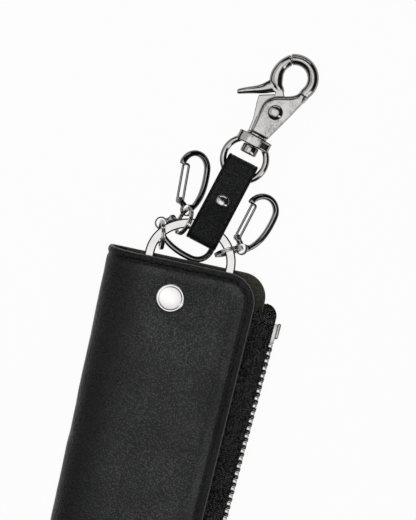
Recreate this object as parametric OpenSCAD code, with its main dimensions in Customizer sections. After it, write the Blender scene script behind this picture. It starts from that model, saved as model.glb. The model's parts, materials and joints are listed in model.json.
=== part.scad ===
/* [Case leather] */
// Length of the case along its spine
case_len = 128; // [114:1:144]
// Width of the case from the spine to the edge of the inner leaf
case_w = 69.6; // [64:0.2:80]
// Thickness of the outer leather
leather_t = 1.6; // [1.2:0.1:2]
// Thickness of the leather of the inner leaf
leaf_t = 1.4; // [1:0.1:1.8]
// Thickness of each lining
lining_t = 0.4; // [0.3:0.05:0.6]
// Height of the space in the zipped pocket
pocket_h = 4.6; // [4.2:0.1:7]
// Height of the space between the leaf and the flap
key_h = 5.2; // [5:0.1:8]
// Radius of the leaf's corners
leaf_r = 10.6; // [4:0.1:16]
// Radius of the flap's corners
flap_r = 12.7; // [4:0.1:18]
// How far the flap stops short of the leaf's side edge
flap_side_inset = 4.1; // [2:0.1:8]
// How far the flap stops short of the leaf's ends
flap_end_inset = 1.5; // [0.5:0.1:4]
// Lean of the leather's side edges from the spine's direction
side_lean = 1.5; // [0:0.1:3]
// How far the linings stop short of the leather's edges
lining_inset = 1.8; // [1:0.1:4]
// Thickness of the pocket's gusset walls
gusset_t = 0.8; // [0.5:0.1:1.5]

/* [Stitching] */
// Distance of the stitching from the leather's edge
stitch_inset = 3.5; // [2:0.1:5]
// Distance from one stitch to the next
stitch_pitch = 4.3; // [3:0.1:6]
// Length of a stitch
stitch_len = 3.1; // [2:0.1:4]
// Width of the thread
thread_w = 0.7; // [0.4:0.05:1]
// Height of the thread above the leather
thread_h = 0.35; // [0.2:0.05:0.6]

/* [Press stud] */
// Distance of the press stud from the spine
snap_from_spine = 30.1; // [24:0.1:36]
// Distance of the press stud from the case's top end
snap_from_top = 17.3; // [14:0.1:24]
// Diameter of the cap
snap_cap_d = 12.5; // [10:0.1:16]
// Height of the cap
snap_cap_h = 1.7; // [1:0.1:3]
// Diameter of the socket under the flap
snap_socket_d = 10; // [8:0.1:12]
// Height of the socket under the flap
snap_socket_h = 2.2; // [1.8:0.1:3]
// Diameter of the stud's ball
snap_ball_d = 4.4; // [3.6:0.1:5]
// Clearance round the ball in the socket
snap_gap = 0.35; // [0.3:0.05:0.5]
// Diameter of the posts that go through the leather
snap_post_d = 2.6; // [2:0.1:3]

/* [Key plate and bail] */
// Half of the bail's width at its centreline
bail_half = 17.4; // [16:0.1:20]
// Height of the bail's half oval at its centreline
bail_h = 15.5; // [14:0.1:18]
// Distance of the oval's centre beyond the case's end
bail_out = 0.2; // [0:0.1:1]
// Width of the bail's strip
strip_w = 4; // [3:0.1:4.4]
// Thickness of the bail's strip
strip_t = 1.6; // [1.2:0.1:1.7]
// Distance of the bail's pivot from the case's end
pivot_in = 6; // [5:0.1:9]
// Height of the bail's pivot above the leaf
pivot_h = 2.1; // [2:0.1:2.6]
// Diameter of the bail's pin
pin_d = 1.6; // [1.2:0.05:1.8]
// Running clearance of the pins in this case
pin_gap = 0.05; // [0.03:0.01:0.1]
// Thickness of the key plate
plate_t = 0.8; // [0.6:0.05:0.8]
// Depth of the key plate along the case
plate_l = 9.4; // [8:0.1:9.6]
// Distance of the key plate from the case's end
plate_in = 3.6; // [3:0.1:4]
// Diameter of the key plate's rivet heads
plate_rivet_d = 5.5; // [4:0.1:7]
// Distance between the key plate's two rivets
plate_rivet_span = 16; // [12:0.1:20]

/* [Zip] */
// Lean of the zip's chain from the spine's direction
zip_lean = 2.6; // [1:0.1:3.5]
// Distance from the leaf's edge to the chain at the leaf's middle
zip_out = 6; // [5.6:0.1:7]
// Distance of the tape's top from the case's top end
tape_top_in = 11.5; // [8:0.1:16]
// Distance of the tape's foot from the case's bottom end
tape_foot_in = 3.4; // [3:0.1:5]
// Distance of the end stop from the case's top end
stop_in = 18.1; // [16:0.1:24]
// Length of the end stop
stop_len = 9.1; // [5:0.1:12]
// Distance of the closed slider's middle from the case's bottom end
slider_in = 11; // [10.6:0.1:16]
// Distance from one tooth to the next on one tape
tooth_pitch = 3.3; // [2.6:0.05:4]
// Depth of a tooth through the chain
tooth_d = 2.1; // [1.6:0.05:2.6]
// Reach of a tooth from its tape across the chain
tooth_reach = 4; // [3.4:0.1:4.4]
// Thickness of the zip's tape
tape_t = 0.6; // [0.4:0.05:0.8]
// Width of the tape that is sewn in
tape_sewn = 6; // [4:0.1:8]
// Length of the slider
slider_len = 10; // [8:0.1:12]
// Width of the slider's outer plate
slider_w = 7.6; // [7.2:0.1:8]
// Thickness of the slider's plates
slider_plate = 1.1; // [0.8:0.05:1.4]
// Length of the pull's tab
pull_len = 18; // [12:0.5:26]
// Width of the pull's tab
pull_w = 6; // [4:0.1:7]

/* [Split rings] */
// Outer diameter of a split ring
ring_od = 12.7; // [12.4:0.05:13]
// Width of the ring's flat wire
ring_wire = 1.25; // [1:0.05:1.4]
// Height of one turn of the ring's wire
ring_turn = 0.8; // [0.6:0.05:0.85]

/* [Wire gate clips] */
// Length of a clip
clip_len = 28.5; // [27:0.1:30]
// Width of a clip
clip_w = 16; // [15:0.1:17]
// Diameter of the clip's bar
clip_bar = 2.6; // [2.2:0.05:2.8]
// Diameter of the hole in the clip's eye
clip_eye_d = 4.1; // [3.9:0.05:4.3]
// Thickness of the web round the clip's eye
clip_web = 2; // [1.6:0.05:2.2]
// Diameter of the gate's wire
gate_wire = 1.1; // [0.8:0.05:1.2]

/* [Strap] */
// Length of the folded strap
strap_len = 41.1; // [39:0.1:43]
// Length of the strap's tail below the bail
strap_tail = 7.7; // [6.5:0.1:8.5]
// Lean of the strap from the spine's direction
strap_lean = 15.5; // [12:0.1:18]
// Slope of the strap down to the table
strap_slope = 12; // [10:0.1:14]
// Width of the strap
strap_w = 13.8; // [13:0.1:14.2]
// Thickness of the strap's leather
strap_leather = 1.4; // [1:0.05:1.6]
// Height of the space in the strap's end loops
loop_h = 4.2; // [4:0.05:4.6]
// Distance of the strap's rivet from its top end
strap_rivet_in = 20.6; // [18:0.1:23]
// Diameter of the strap's rivet cap
strap_rivet_d = 6.2; // [5:0.1:7.5]

/* [Trigger snap] */
// Mean radius of the swivel ring
eye_r = 9.15; // [8.9:0.05:9.6]
// Diameter of the swivel ring's wire
eye_wire = 2.9; // [2.5:0.05:3]
// Diameter of the swivel's stud
stud_d = 3.2; // [2.6:0.1:3.6]
// Mean radius of the hook's bow
bow_r = 7.95; // [7.5:0.05:8.3]
// Diameter of the hook's bow
bow_d = 4.9; // [4.2:0.1:5.2]
// Thickness of the hook's body
hook_t = 6.6; // [6:0.1:7.4]
// Thickness of the trigger lever
lever_t = 3; // [2.4:0.1:3.4]
// Diameter of the lever's rivet
lever_rivet_d = 2.6; // [2:0.1:3]

/* [Hidden] */
$fn = 48;

black_leather = [0.07, 0.07, 0.075];
olive_leather = [0.36, 0.36, 0.29];
lining_cloth = [0.3, 0.3, 0.25];
black_cloth = [0.09, 0.09, 0.09];
silver = [0.8, 0.8, 0.81];
gunmetal = [0.3, 0.3, 0.32];
satin = [0.6, 0.6, 0.61];

// Heights of the case's layers, from the surface that it lies on
back_top = leather_t;
pocket_low = back_top + lining_t;
pocket_high = pocket_low + pocket_h;
leaf_low = pocket_high + lining_t;
leaf_top = leaf_low + leaf_t;
key_high = leaf_top + key_h;
flap_low = key_high + lining_t;
flap_top = flap_low + leather_t;

// Places across and along the case
spine_x = -case_w / 2;
leaf_x = case_w / 2;
spine_r = flap_top / 2;
spine_mid_x = spine_x + spine_r;
end_y = case_len / 2;
snap_x = spine_x + snap_from_spine;
snap_y = end_y - snap_from_top;

// The spine's two halves part at the fold's line, with a hair's gap
fold_gap = 0.1;

// X of a side edge that reaches its full width where the top corner begins
function edge_x(right, y, top, r) = right + (y - top + r) * tan(side_lean);

// Points of a round stretch from one angle to another
arc_steps = 12;
function arc(c, r, from, to, steps = arc_steps) =
    [for (i = [0:steps]) let (a = from + (to - from) * i / steps) c + r * [cos(a), sin(a)]];

// Middle of the round corner above (1) or below (-1), on a leaning edge
function corner(side, right, top, r) =
    let (y = side * (top - r)) [edge_x(right, y, top, r) - r / cos(side_lean), y];

// Outline from the spine to a leaning side edge with two round corners
module leaf_outline(left, right, top, r) {
    polygon(concat(
        [[left, top], [left, -top]],
        arc(corner(-1, right, top, r), r, -90, -side_lean),
        arc(corner(1, right, top, r), r, -side_lean, 90)
    ));
}

// Sheet of the leaf's outline, drawn in by an inset all round
module leaf_sheet(low, t, inset = 0) {
    translate([0, 0, low])
        linear_extrude(t)
            leaf_outline(spine_mid_x, leaf_x - inset, end_y - inset, leaf_r - inset);
}

// Sheet of the flap's outline, drawn in by an inset all round
flap_x = leaf_x - flap_side_inset;
flap_end = end_y - flap_end_inset;
module flap_sheet(low, t, inset = 0) {
    translate([0, 0, low])
        linear_extrude(t)
            leaf_outline(spine_mid_x, flap_x - inset, flap_end - inset, flap_r - inset);
}

// Wall of the round spine between two heights
module spine_wall(low, high, half) {
    intersection() {
        translate([spine_mid_x, half, spine_r])
            rotate([90, 0, 0])
                difference() {
                    cylinder(r = spine_r, h = 2 * half, $fn = 96);
                    translate([0, 0, -1])
                        cylinder(r = spine_r - leather_t, h = 2 * half + 2, $fn = 96);
                }
        translate([spine_x - 1, -half, low])
            cube([spine_r + 1, 2 * half, high - low]);
    }
}

// Upright hole through any layer
module post_hole(x, y, d) {
    translate([x, y, -1]) cylinder(d = d, h = flap_top + 2);
}

module back_panel() {
    color(black_leather) {
        leaf_sheet(0, leather_t);
        spine_wall(0, spine_r, end_y);
    }
}

module back_lining() {
    color(lining_cloth) leaf_sheet(back_top, lining_t, lining_inset);
}

// Walls that close the pocket along its ends and its spine side
module pocket_gusset() {
    wall_in = lining_inset + gusset_t;
    color(black_cloth)
        difference() {
            leaf_sheet(pocket_low, pocket_h, lining_inset);
            translate([spine_mid_x + gusset_t, wall_in - end_y, pocket_low - 1])
                cube([case_w, case_len - 2 * wall_in, pocket_h + 2]);
        }
}

module leaf_holes() {
    post_hole(snap_x, snap_y, snap_post_d);
    for (side = [-1, 1])
        post_hole(side * plate_rivet_span / 2, plate_mid_y, snap_post_d);
}

module pocket_leaf() {
    color(olive_leather)
        difference() {
            leaf_sheet(leaf_low, leaf_t);
            leaf_holes();
        }
}

module leaf_lining() {
    color(lining_cloth)
        difference() {
            leaf_sheet(pocket_high, lining_t, lining_inset);
            leaf_holes();
        }
}

// Frame of the zip: Y runs along its chain and X points out of the pocket
chain_z = (pocket_low + pocket_high) / 2;
chain_x = edge_x(leaf_x, 0, end_y, leaf_r) + zip_out;
tape_rise = 0.5;
tape_slope_in = 1.4;
tape_flat_x = tooth_d / 2 + 2.1;
chain_half = pocket_h / 2 + tape_rise;
tooth_w = tooth_pitch / 2 - 0.05;
stop_top = end_y - stop_in;
first_tooth_y = stop_top - stop_len - tooth_w / 2 - 0.3;
slider_y = slider_in - end_y;
slider_foot = slider_y - slider_len / 2;
bridge_len = 1.8;
teeth_low = slider_foot + bridge_len + 0.8 + tooth_w / 2;
tooth_count = floor((first_tooth_y - teeth_low) / (tooth_pitch / 2)) + 1;
module zip_frame() {
    translate([chain_x, 0, chain_z]) rotate([0, 0, -zip_lean]) children();
}

// Tape sewn to one face of the pocket and bent up to its row of teeth
tape_foot_y = tape_foot_in - end_y;
tape_top_y = end_y - tape_top_in;
module zip_tape(side) {
    low = pocket_h / 2 - tape_t;
    left = zip_out + tape_sewn;
    color(black_cloth)
        zip_frame()
            mirror([0, 0, side > 0 ? 0 : 1])
                translate([0, tape_top_y, 0])
                    rotate([90, 0, 0])
                        linear_extrude(tape_top_y - tape_foot_y)
                            polygon([
                                [-left, low], [-tape_flat_x - tape_slope_in, low],
                                [-tape_flat_x, low + tape_rise], [-tooth_d / 2, low + tape_rise],
                                [-tooth_d / 2, chain_half], [-tape_flat_x, chain_half],
                                [-tape_flat_x - tape_slope_in, low + tape_t], [-left, low + tape_t]
                            ]);
}

module zip_tape_front() {
    zip_tape(1);
}

module zip_tape_rear() {
    zip_tape(-1);
}

// Row of teeth: every second place in the chain belongs to one tape
module zip_teeth(side) {
    color(silver)
        zip_frame()
            for (i = [side > 0 ? 0 : 1 : 2 : tooth_count - 1])
                translate([-tooth_d / 2, first_tooth_y - i * tooth_pitch / 2 - tooth_w / 2,
                           side > 0 ? chain_half - tooth_reach : -chain_half])
                    cube([tooth_d, tooth_w, tooth_reach]);
}

module zip_teeth_front() {
    zip_teeth(1);
}

module zip_teeth_rear() {
    zip_teeth(-1);
}

// Folded clip that joins both tapes at the zip's top end
module zip_end_stop() {
    stop_half = pocket_h / 2 - tape_t + tape_rise;
    color(silver)
        zip_frame()
            translate([-tooth_d / 2, stop_top - stop_len, -stop_half])
                cube([tooth_d + 1, stop_len, 2 * stop_half]);
}

// One small clip on each tape below the closed slider
module zip_top_stops() {
    stop_l = slider_foot - 0.3 - tape_foot_y;
    color(silver)
        zip_frame()
            for (low = [-chain_half, chain_half - 1.5])
                translate([-tooth_d / 2, tape_foot_y, low])
                    cube([tooth_d, stop_l, 1.5]);
}

// Slider with an outer and an inner plate, a bridge and a lug for the pull
slider_clear = 0.2;
plate_x = tooth_d / 2 + slider_clear;
lug_x = plate_x + slider_plate + 1;
lug_w = 1.6;
pull_bar_d = 1.3;
module zip_slider() {
    inner_half = chain_half - tape_t - slider_clear;
    flange_low = chain_half + 0.3;
    color(silver)
        zip_frame()
            translate([0, slider_y, 0])
                difference() {
                    union() {
                        translate([plate_x, -slider_len / 2, -slider_w / 2])
                            cube([slider_plate, slider_len, slider_w]);
                        translate([-plate_x - slider_plate, -slider_len / 2, -inner_half])
                            cube([slider_plate, slider_len, 2 * inner_half]);
                        translate([-plate_x - 0.1, -slider_len / 2, -lug_w / 2])
                            cube([2 * plate_x + 0.2, bridge_len, lug_w]);
                        for (side = [0, 1])
                            mirror([0, 0, side])
                                translate([-0.4, -slider_len / 2, flange_low])
                                    cube([plate_x + 0.5, slider_len, slider_w / 2 - flange_low]);
                        translate([lug_x, 0, -lug_w / 2]) cylinder(r = 1.4, h = lug_w);
                        translate([plate_x + slider_plate - 0.1, -1.4, -lug_w / 2])
                            cube([1.1, 2.8, lug_w]);
                    }
                    translate([lug_x, 0, -lug_w])
                        cylinder(d = pull_bar_d + 2 * pin_gap, h = 2 * lug_w);
                }
}

// Pull with a bar in the slider's lug, two arms and a rounded tab
module zip_pull() {
    arm_gap = lug_w / 2 + 0.3;
    arm_w = 1.1;
    arm_len = 6;
    color(silver)
        zip_frame()
            translate([lug_x, slider_y, 0]) {
                cylinder(d = pull_bar_d, h = 2 * (arm_gap + arm_w), center = true);
                for (side = [0, 1])
                    mirror([0, 0, side])
                        translate([-pull_bar_d / 2, -arm_len, arm_gap])
                            cube([pull_bar_d, arm_len, arm_w]);
                rotate([90, 0, 90])
                    linear_extrude(pull_bar_d, center = true) {
                        translate([-arm_len - pull_len + pull_w / 2, -pull_w / 2])
                            square([pull_len - pull_w / 2, pull_w]);
                        translate([-arm_len - pull_len + pull_w / 2, 0]) circle(d = pull_w);
                    }
            }
}

// Hinge of the bail, between the leaf and the flap
pivot_y = end_y - pivot_in;
pivot_z = leaf_top + pivot_h;
pin_r = pin_d / 2;
knuckle_r = pin_r + pin_gap + 0.75;
ear_gap = 0.2;
ear_w = 1.8;
ear_in = bail_half - strip_w / 2 - ear_gap - ear_w;
ear_out = bail_half + strip_w / 2 + ear_gap;
plate_top_y = end_y - plate_in;
plate_mid_y = plate_top_y - plate_l + plate_rivet_d / 2 + 0.3;
plate_half = ear_out + ear_w;
rivet_head_h = 0.8;

// Cylinder along X round the bail's pivot
module pivot_rod(x, len, r) {
    translate([x, pivot_y, pivot_z])
        rotate([0, 90, 0])
            cylinder(r = r, h = len);
}

module key_plate() {
    ear_r = knuckle_r;
    color(silver)
        difference() {
            union() {
                translate([-plate_half, plate_top_y - plate_l, leaf_top])
                    cube([2 * plate_half, plate_l, plate_t]);
                for (x = [-plate_half, -ear_in - ear_w, ear_in, ear_out]) {
                    pivot_rod(x, ear_w, ear_r);
                    translate([x, pivot_y - ear_r, leaf_top + plate_t / 2])
                        cube([ear_w, 2 * ear_r, pivot_h - plate_t / 2]);
                }
            }
            pivot_rod(-plate_half - 1, 2 * plate_half + 2, pin_r + 0.02);
            for (side = [-1, 1]) {
                translate([side * bail_half - strip_w / 2 - ear_gap, pivot_y - knuckle_r - ear_gap,
                           leaf_top - 1])
                    cube([strip_w + 2 * ear_gap, plate_l, plate_t + 2]);
                post_hole(side * plate_rivet_span / 2, plate_mid_y, snap_post_d);
            }
        }
}

// Rivet through the leaf with a head above and below
module flat_rivet(x, y, low, high, d, shank) {
    translate([x, y, high]) cylinder(d = d, h = rivet_head_h);
    translate([x, y, low - rivet_head_h]) cylinder(d = d, h = rivet_head_h);
    translate([x, y, low - 0.1]) cylinder(d = shank, h = high - low + 0.2);
}

post_gap = 0.1;
module key_plate_rivets() {
    color(silver)
        for (side = [-1, 1])
            flat_rivet(side * plate_rivet_span / 2, plate_mid_y, pocket_high,
                       leaf_top + plate_t, plate_rivet_d, snap_post_d - post_gap);
}

module bail_hinge_pin() {
    color(silver) pivot_rod(-plate_half, 2 * plate_half, pin_r);
}

// Point of the bail's half oval at an angle, and its normal
bail_y = end_y + bail_out;
function bail_xy(t) = [bail_half * cos(t), bail_y + bail_h * sin(t)];
function bail_normal(t) =
    let (n = [bail_h * cos(t), bail_half * sin(t)]) n / norm(n);

// Flat half oval with straight legs and rolled ends on the pin
module bail() {
    steps = 48;
    half = strip_w / 2;
    outer = [for (i = [0:steps]) bail_xy(180 * i / steps) + half * bail_normal(180 * i / steps)];
    inner = [for (i = [steps:-1:0]) bail_xy(180 * i / steps) - half * bail_normal(180 * i / steps)];
    color(silver)
        difference() {
            union() {
                translate([0, 0, pivot_z - strip_t / 2])
                    linear_extrude(strip_t)
                        polygon(concat(outer, inner));
                for (side = [-1, 1]) {
                    translate([side * bail_half - half, pivot_y, pivot_z - strip_t / 2])
                        cube([strip_w, bail_y - pivot_y + 0.01, strip_t]);
                    pivot_rod(side * bail_half - half, strip_w, knuckle_r);
                }
            }
            pivot_rod(-plate_half, 2 * plate_half, pin_r + pin_gap);
        }
}

// Press stud: a ball on the leaf and a socket under the flap
stud_base_d = 7.4;
stud_base_h = 0.8;
socket_low = key_high - snap_socket_h;
module snap_stud() {
    color(silver)
        translate([snap_x, snap_y, leaf_top])
            rotate_extrude()
                polygon([
                    [0, 0], [stud_base_d / 2, 0], [stud_base_d / 2, stud_base_h],
                    [snap_ball_d / 2 - 0.5, stud_base_h + 0.4],
                    [snap_ball_d / 2 - 0.5, socket_low - leaf_top],
                    [snap_ball_d / 2, socket_low - leaf_top + 0.5],
                    [snap_ball_d / 2 - 0.7, key_high - leaf_top - 0.8],
                    [0, key_high - leaf_top - 0.8]
                ]);
}

module snap_stud_post() {
    color(silver) {
        translate([snap_x, snap_y, pocket_high - rivet_head_h])
            cylinder(d = stud_base_d, h = rivet_head_h);
        translate([snap_x, snap_y, pocket_high - 0.1])
            cylinder(d = snap_post_d - post_gap, h = leaf_top - pocket_high + 0.1);
    }
}

module front_flap() {
    color(black_leather)
        difference() {
            union() {
                flap_sheet(flap_low, leather_t);
                spine_wall(spine_r + fold_gap, flap_top, flap_end);
            }
            post_hole(snap_x, snap_y, snap_post_d);
        }
}

module flap_lining() {
    color(lining_cloth)
        difference() {
            flap_sheet(key_high, lining_t, lining_inset);
            post_hole(snap_x, snap_y, snap_post_d);
        }
}

// One stitch lying on a surface, along X
module stitch() {
    translate([-stitch_len / 2, -thread_w / 2, 0])
        cube([stitch_len, thread_w, thread_h]);
}

// Stitches round the flap's three free edges
module flap_stitching() {
    r = flap_r - stitch_inset;
    right = flap_x - stitch_inset;
    top = flap_end - stitch_inset;
    cy = top - r;
    low_x = corner(-1, right, top, r)[0];
    high_x = corner(1, right, top, r)[0];
    end_run = high_x - spine_mid_x;
    side_run = 2 * cy / cos(side_lean);
    arc = r * PI / 2;
    color(black_cloth)
        translate([0, 0, flap_top]) {
            for (s = [stitch_pitch / 2 : stitch_pitch : end_run])
                for (side = [-1, 1])
                    translate([spine_mid_x + s, side * top, 0]) stitch();
            for (s = [stitch_pitch / 2 : stitch_pitch : side_run])
                translate([high_x + r * cos(side_lean) - s * sin(side_lean),
                           cy - r * sin(side_lean) - s * cos(side_lean), 0])
                    rotate([0, 0, 90 - side_lean]) stitch();
            for (a = [stitch_pitch / arc * 45 : stitch_pitch / arc * 90 : 86]) {
                translate([high_x + r * sin(a), cy + r * cos(a), 0])
                    rotate([0, 0, -a]) stitch();
                translate([low_x + r * sin(a), -cy - r * cos(a), 0])
                    rotate([0, 0, a]) stitch();
            }
        }
}

module snap_cap() {
    rim = 0.6;
    color(silver) {
        translate([snap_x, snap_y, flap_top])
            rotate_extrude($fn = 96)
                polygon([
                    [0, 0], [snap_cap_d / 2, 0], [snap_cap_d / 2, rim],
                    [snap_cap_d / 2 - 0.8, snap_cap_h - 0.2],
                    [snap_cap_d / 2 - 1.6, snap_cap_h], [0, snap_cap_h]
                ]);
        translate([snap_x, snap_y, key_high])
            cylinder(d = snap_post_d - post_gap, h = flap_top - key_high + 0.1);
    }
}

module snap_socket() {
    bore = snap_ball_d / 2 + snap_gap;
    roof = 0.4;
    color(silver)
        translate([snap_x, snap_y, socket_low])
            difference() {
                cylinder(d = snap_socket_d, h = snap_socket_h, $fn = 64);
                translate([0, 0, -1]) cylinder(r = bore, h = snap_socket_h + 1 - roof);
            }
}

// Left, middle and right: angle of the bail's oval at which each ring hangs
ring_at = [145, 110.9, 27.2];
// Heading of each ring's level direction, and the tilt of its plane
ring_yaw = [100.7, 76.6, 27.8];
ring_tilt = [-81.6, -67.1, 81.4];
// Each ring's middle from the bail's centreline: along its level direction, and down
ring_along = [-0.97, 1.09, -0.17];
ring_down = [1.29, 0.49, 3.34];
ring_mean = ring_od / 2 - ring_wire / 2;

// A vector turned about X and then about Z
function turn_xz(v, a, c) =
    let (y = v[1] * cos(a) - v[2] * sin(a), z = v[1] * sin(a) + v[2] * cos(a))
    [v[0] * cos(c) - y * sin(c), v[0] * sin(c) + y * cos(c), z];
function ring_mid(i) =
    let (b = bail_xy(ring_at[i]))
    [b[0] + ring_along[i] * cos(ring_yaw[i]), b[1] + ring_along[i] * sin(ring_yaw[i]),
     pivot_z - ring_down[i]];
function ring_point(i, t) =
    ring_mid(i) + turn_xz([ring_mean * cos(t), ring_mean * sin(t), 0], ring_tilt[i], ring_yaw[i]);

// Split ring of two turns of flat wire, with a joggle from one to the other
module split_ring(i) {
    gap_angle = 12;
    half_step = ring_mean * sin(gap_angle) + 0.1;
    color(silver)
        translate(ring_mid(i))
            rotate([ring_tilt[i], 0, ring_yaw[i]])
                rotate([0, 0, 180]) {
                    for (low = [-ring_turn, 0])
                        translate([0, 0, low])
                            rotate([0, 0, gap_angle])
                                rotate_extrude(angle = 360 - 2 * gap_angle, $fn = 96)
                                    translate([ring_od / 2 - ring_wire, 0])
                                        square([ring_wire, ring_turn]);
                    translate([ring_od / 2 - ring_wire - 0.06, 0, 0])
                        rotate([90, 0, 90])
                            linear_extrude(ring_wire - 0.06)
                                polygon([
                                    [-half_step, -ring_turn], [-half_step + 0.3, -ring_turn],
                                    [half_step, 0], [half_step, ring_turn],
                                    [half_step - 0.3, ring_turn], [-half_step, 0]
                                ]);
                }
}

module split_ring_left() {
    split_ring(0);
}

module split_ring_middle() {
    split_ring(1);
}

module split_ring_right() {
    split_ring(2);
}

// Each clip's ring angle at its eye, its heading, its pitch and its roll
clip_on = [29.5, 33.9, -17.9];
clip_yaw = [-12.2, 95.4, 78.3];
clip_pitch = [-9.1, -0.5, 0.4];
clip_roll = [-8, 36, 26.2];

// Places in the clip's own plane: X along it and Y to its gate's side
bar_r = clip_bar / 2;
top_r = clip_w / 2 - bar_r;
top_x = clip_len - bar_r - top_r;
eye_rim = 0.7;
eye_out_r = clip_eye_d / 2 + eye_rim;
eye_at = [eye_out_r, 1.7];
back_at = [top_x - 8, -top_r];
heel_at = [3.4, -0.6];
stub_at = [6.4, top_r - 1.1];
gate_tip = [top_x + 1.2, top_r - 2.15];
gate_r = gate_wire / 2;
gate_z = bar_r + gate_r + 0.25;
nose_angle = 79;

module clip_frame(i) {
    translate(ring_point(i, clip_on[i]))
        rotate([clip_roll[i], -clip_pitch[i], clip_yaw[i]])
            translate([-eye_at[0], -eye_at[1], 0])
                children();
}

// Centreline of the clip's bar: round the top, down the back and in to the eye
function bezier(p, t) =
    p[0] * pow(1 - t, 3) + 3 * p[1] * t * pow(1 - t, 2) + 3 * p[2] * t * t * (1 - t)
    + p[3] * pow(t, 3);
back_curve = [[top_x, -top_r], back_at, [6.6, -4.6], heel_at];
bar_line = concat(
    arc([top_x, 0], top_r, nose_angle, -90, 2 * arc_steps),
    [for (i = [1:arc_steps]) bezier(back_curve, i / arc_steps)]
);

// Side step across a line of points at one of them
function across(line, i) =
    let (v = line[min(i + 1, len(line) - 1)] - line[max(i - 1, 0)]) [-v[1], v[0]] / norm(v);
function band(line, half) =
    let (n = len(line) - 1)
    concat([for (i = [0:n]) line[i] + half * across(line, i)],
           [for (i = [n:-1:0]) line[i] - half * across(line, i)]);

module clip_body(i) {
    to_stub = stub_at - eye_at;
    stub_turn = atan2(to_stub[1], to_stub[0]);
    color(gunmetal)
        clip_frame(i)
            difference() {
                union() {
                    translate([0, 0, -bar_r])
                        linear_extrude(clip_bar)
                            polygon(band(bar_line, bar_r));
                    translate([0, 0, -bar_r])
                        linear_extrude(clip_bar)
                            polygon(concat(
                                arc(eye_at, bar_r, stub_turn + 120, stub_turn + 240, 4),
                                arc(stub_at, bar_r, stub_turn - 80, stub_turn + 80)
                            ));
                    translate([0, 0, -clip_web / 2])
                        linear_extrude(clip_web)
                            polygon(concat(
                                arc(eye_at, eye_out_r, 100, 285, 2 * arc_steps),
                                [heel_at + [0.4, -bar_r], heel_at + [bar_r, 0.4],
                                 stub_at + [0.2, -bar_r], stub_at + [-bar_r, 0.6]]
                            ));
                }
                translate([eye_at[0], eye_at[1], -clip_bar])
                    cylinder(d = clip_eye_d, h = 2 * clip_bar);
                for (side = [0, 1])
                    mirror([0, 0, side])
                        translate([eye_at[0], eye_at[1], clip_web / 2])
                            cylinder(r = eye_out_r + 0.2, h = clip_bar);
                translate([stub_at[0], stub_at[1], -clip_bar])
                    cylinder(r = gate_r + 0.05 + pin_gap, h = 2 * clip_bar);
            }
}

// Sprung gate of bent wire: a pin in the clip's stub, two wires and a bar at the tip
module clip_gate(i) {
    v = gate_tip - stub_at;
    color(gunmetal)
        clip_frame(i) {
            for (p = [stub_at, gate_tip])
                translate([p[0], p[1], 0])
                    cylinder(r = gate_r + 0.05, h = 2 * (gate_z + gate_r + 0.1), center = true);
            for (z = [-gate_z, gate_z])
                translate([stub_at[0], stub_at[1], z])
                    rotate([0, 0, atan2(v[1], v[0])])
                        rotate([0, 90, 0])
                            cylinder(r = gate_r, h = norm(v));
        }
}

module clip_left() {
    clip_body(0);
}

module clip_middle() {
    clip_body(1);
}

module clip_right() {
    clip_body(2);
}

module clip_gate_left() {
    clip_gate(0);
}

module clip_gate_middle() {
    clip_gate(1);
}

module clip_gate_right() {
    clip_gate(2);
}

// Frame of the strap: its origin is on the bail and Y runs up to the strap's top end
strap_at = 74.3;
strap_top = strap_len - strap_tail;
module strap_frame() {
    b = bail_xy(strap_at);
    translate([b[0], b[1], pivot_z]) rotate([-strap_slope, 0, -strap_lean]) children();
}

// Side view of the folded strap, grown outwards by t from the loops' inside
loop_r = loop_h / 2;
loop_run = 3.4;
upper_full = 10.8;
lower_full = 2.8;
loop_mid = [strap_leather + loop_r - strap_tail, strap_top - strap_leather - loop_r];
module strap_side(t) {
    r = loop_r + t;
    up = strap_top - upper_full;
    polygon(concat(
        arc([loop_mid[0], 0], r, 90, 270, 2 * arc_steps),
        [[lower_full, -r], [lower_full + loop_run, -t], [up - loop_run, -t], [up, -r]],
        arc([loop_mid[1], 0], r, -90, 90, 2 * arc_steps),
        [[up, r], [up - loop_run, t], [lower_full + loop_run, t], [lower_full, r]]
    ));
}

// Space in one of the loops: round at its end and drawn to a point inwards
module loop_space(mid, full, run) {
    turn = run > 0 ? 90 : -90;
    polygon(concat(
        arc([mid, 0], loop_r, turn, turn + 180, 2 * arc_steps),
        [[full, -sign(run) * loop_r], [full + run, 0], [full, sign(run) * loop_r]]
    ));
}

module strap() {
    rivet_y = strap_top - strap_rivet_in;
    color(black_leather)
        strap_frame()
            difference() {
                rotate([90, 0, 90])
                    linear_extrude(strap_w, center = true)
                        difference() {
                            strap_side(strap_leather);
                            loop_space(loop_mid[0], lower_full, loop_run);
                            loop_space(loop_mid[1], strap_top - upper_full, -loop_run);
                        }
                translate([0, rivet_y, 0])
                    cylinder(d = snap_post_d, h = 3 * strap_leather, center = true);
            }
}

// Stitches along both long edges of the strap's flat middle and loops
strap_stitch_inset = 1.5;
module strap_stitching() {
    flat_low = lower_full + loop_run;
    flat_high = strap_top - upper_full - loop_run;
    pitch = stitch_pitch - 1;
    color(black_cloth)
        strap_frame()
            for (y = [flat_low + pitch / 2 : pitch : flat_high - 1])
                for (side = [-1, 1])
                    translate([side * (strap_w / 2 - strap_stitch_inset), y, strap_leather])
                        rotate([0, 0, 90])
                            translate([-1.1, -thread_w / 2, 0])
                                cube([2.2, thread_w, thread_h]);
}

rivet_dome_h = 1.6;
module strap_rivet_cap() {
    r = strap_rivet_d / 2;
    ball = (r * r + rivet_dome_h * rivet_dome_h) / (2 * rivet_dome_h);
    color(silver)
        strap_frame()
            translate([0, strap_top - strap_rivet_in, strap_leather])
                intersection() {
                    cylinder(r = r, h = rivet_dome_h);
                    translate([0, 0, rivet_dome_h - ball]) sphere(r = ball, $fn = 64);
                }
}

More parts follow.
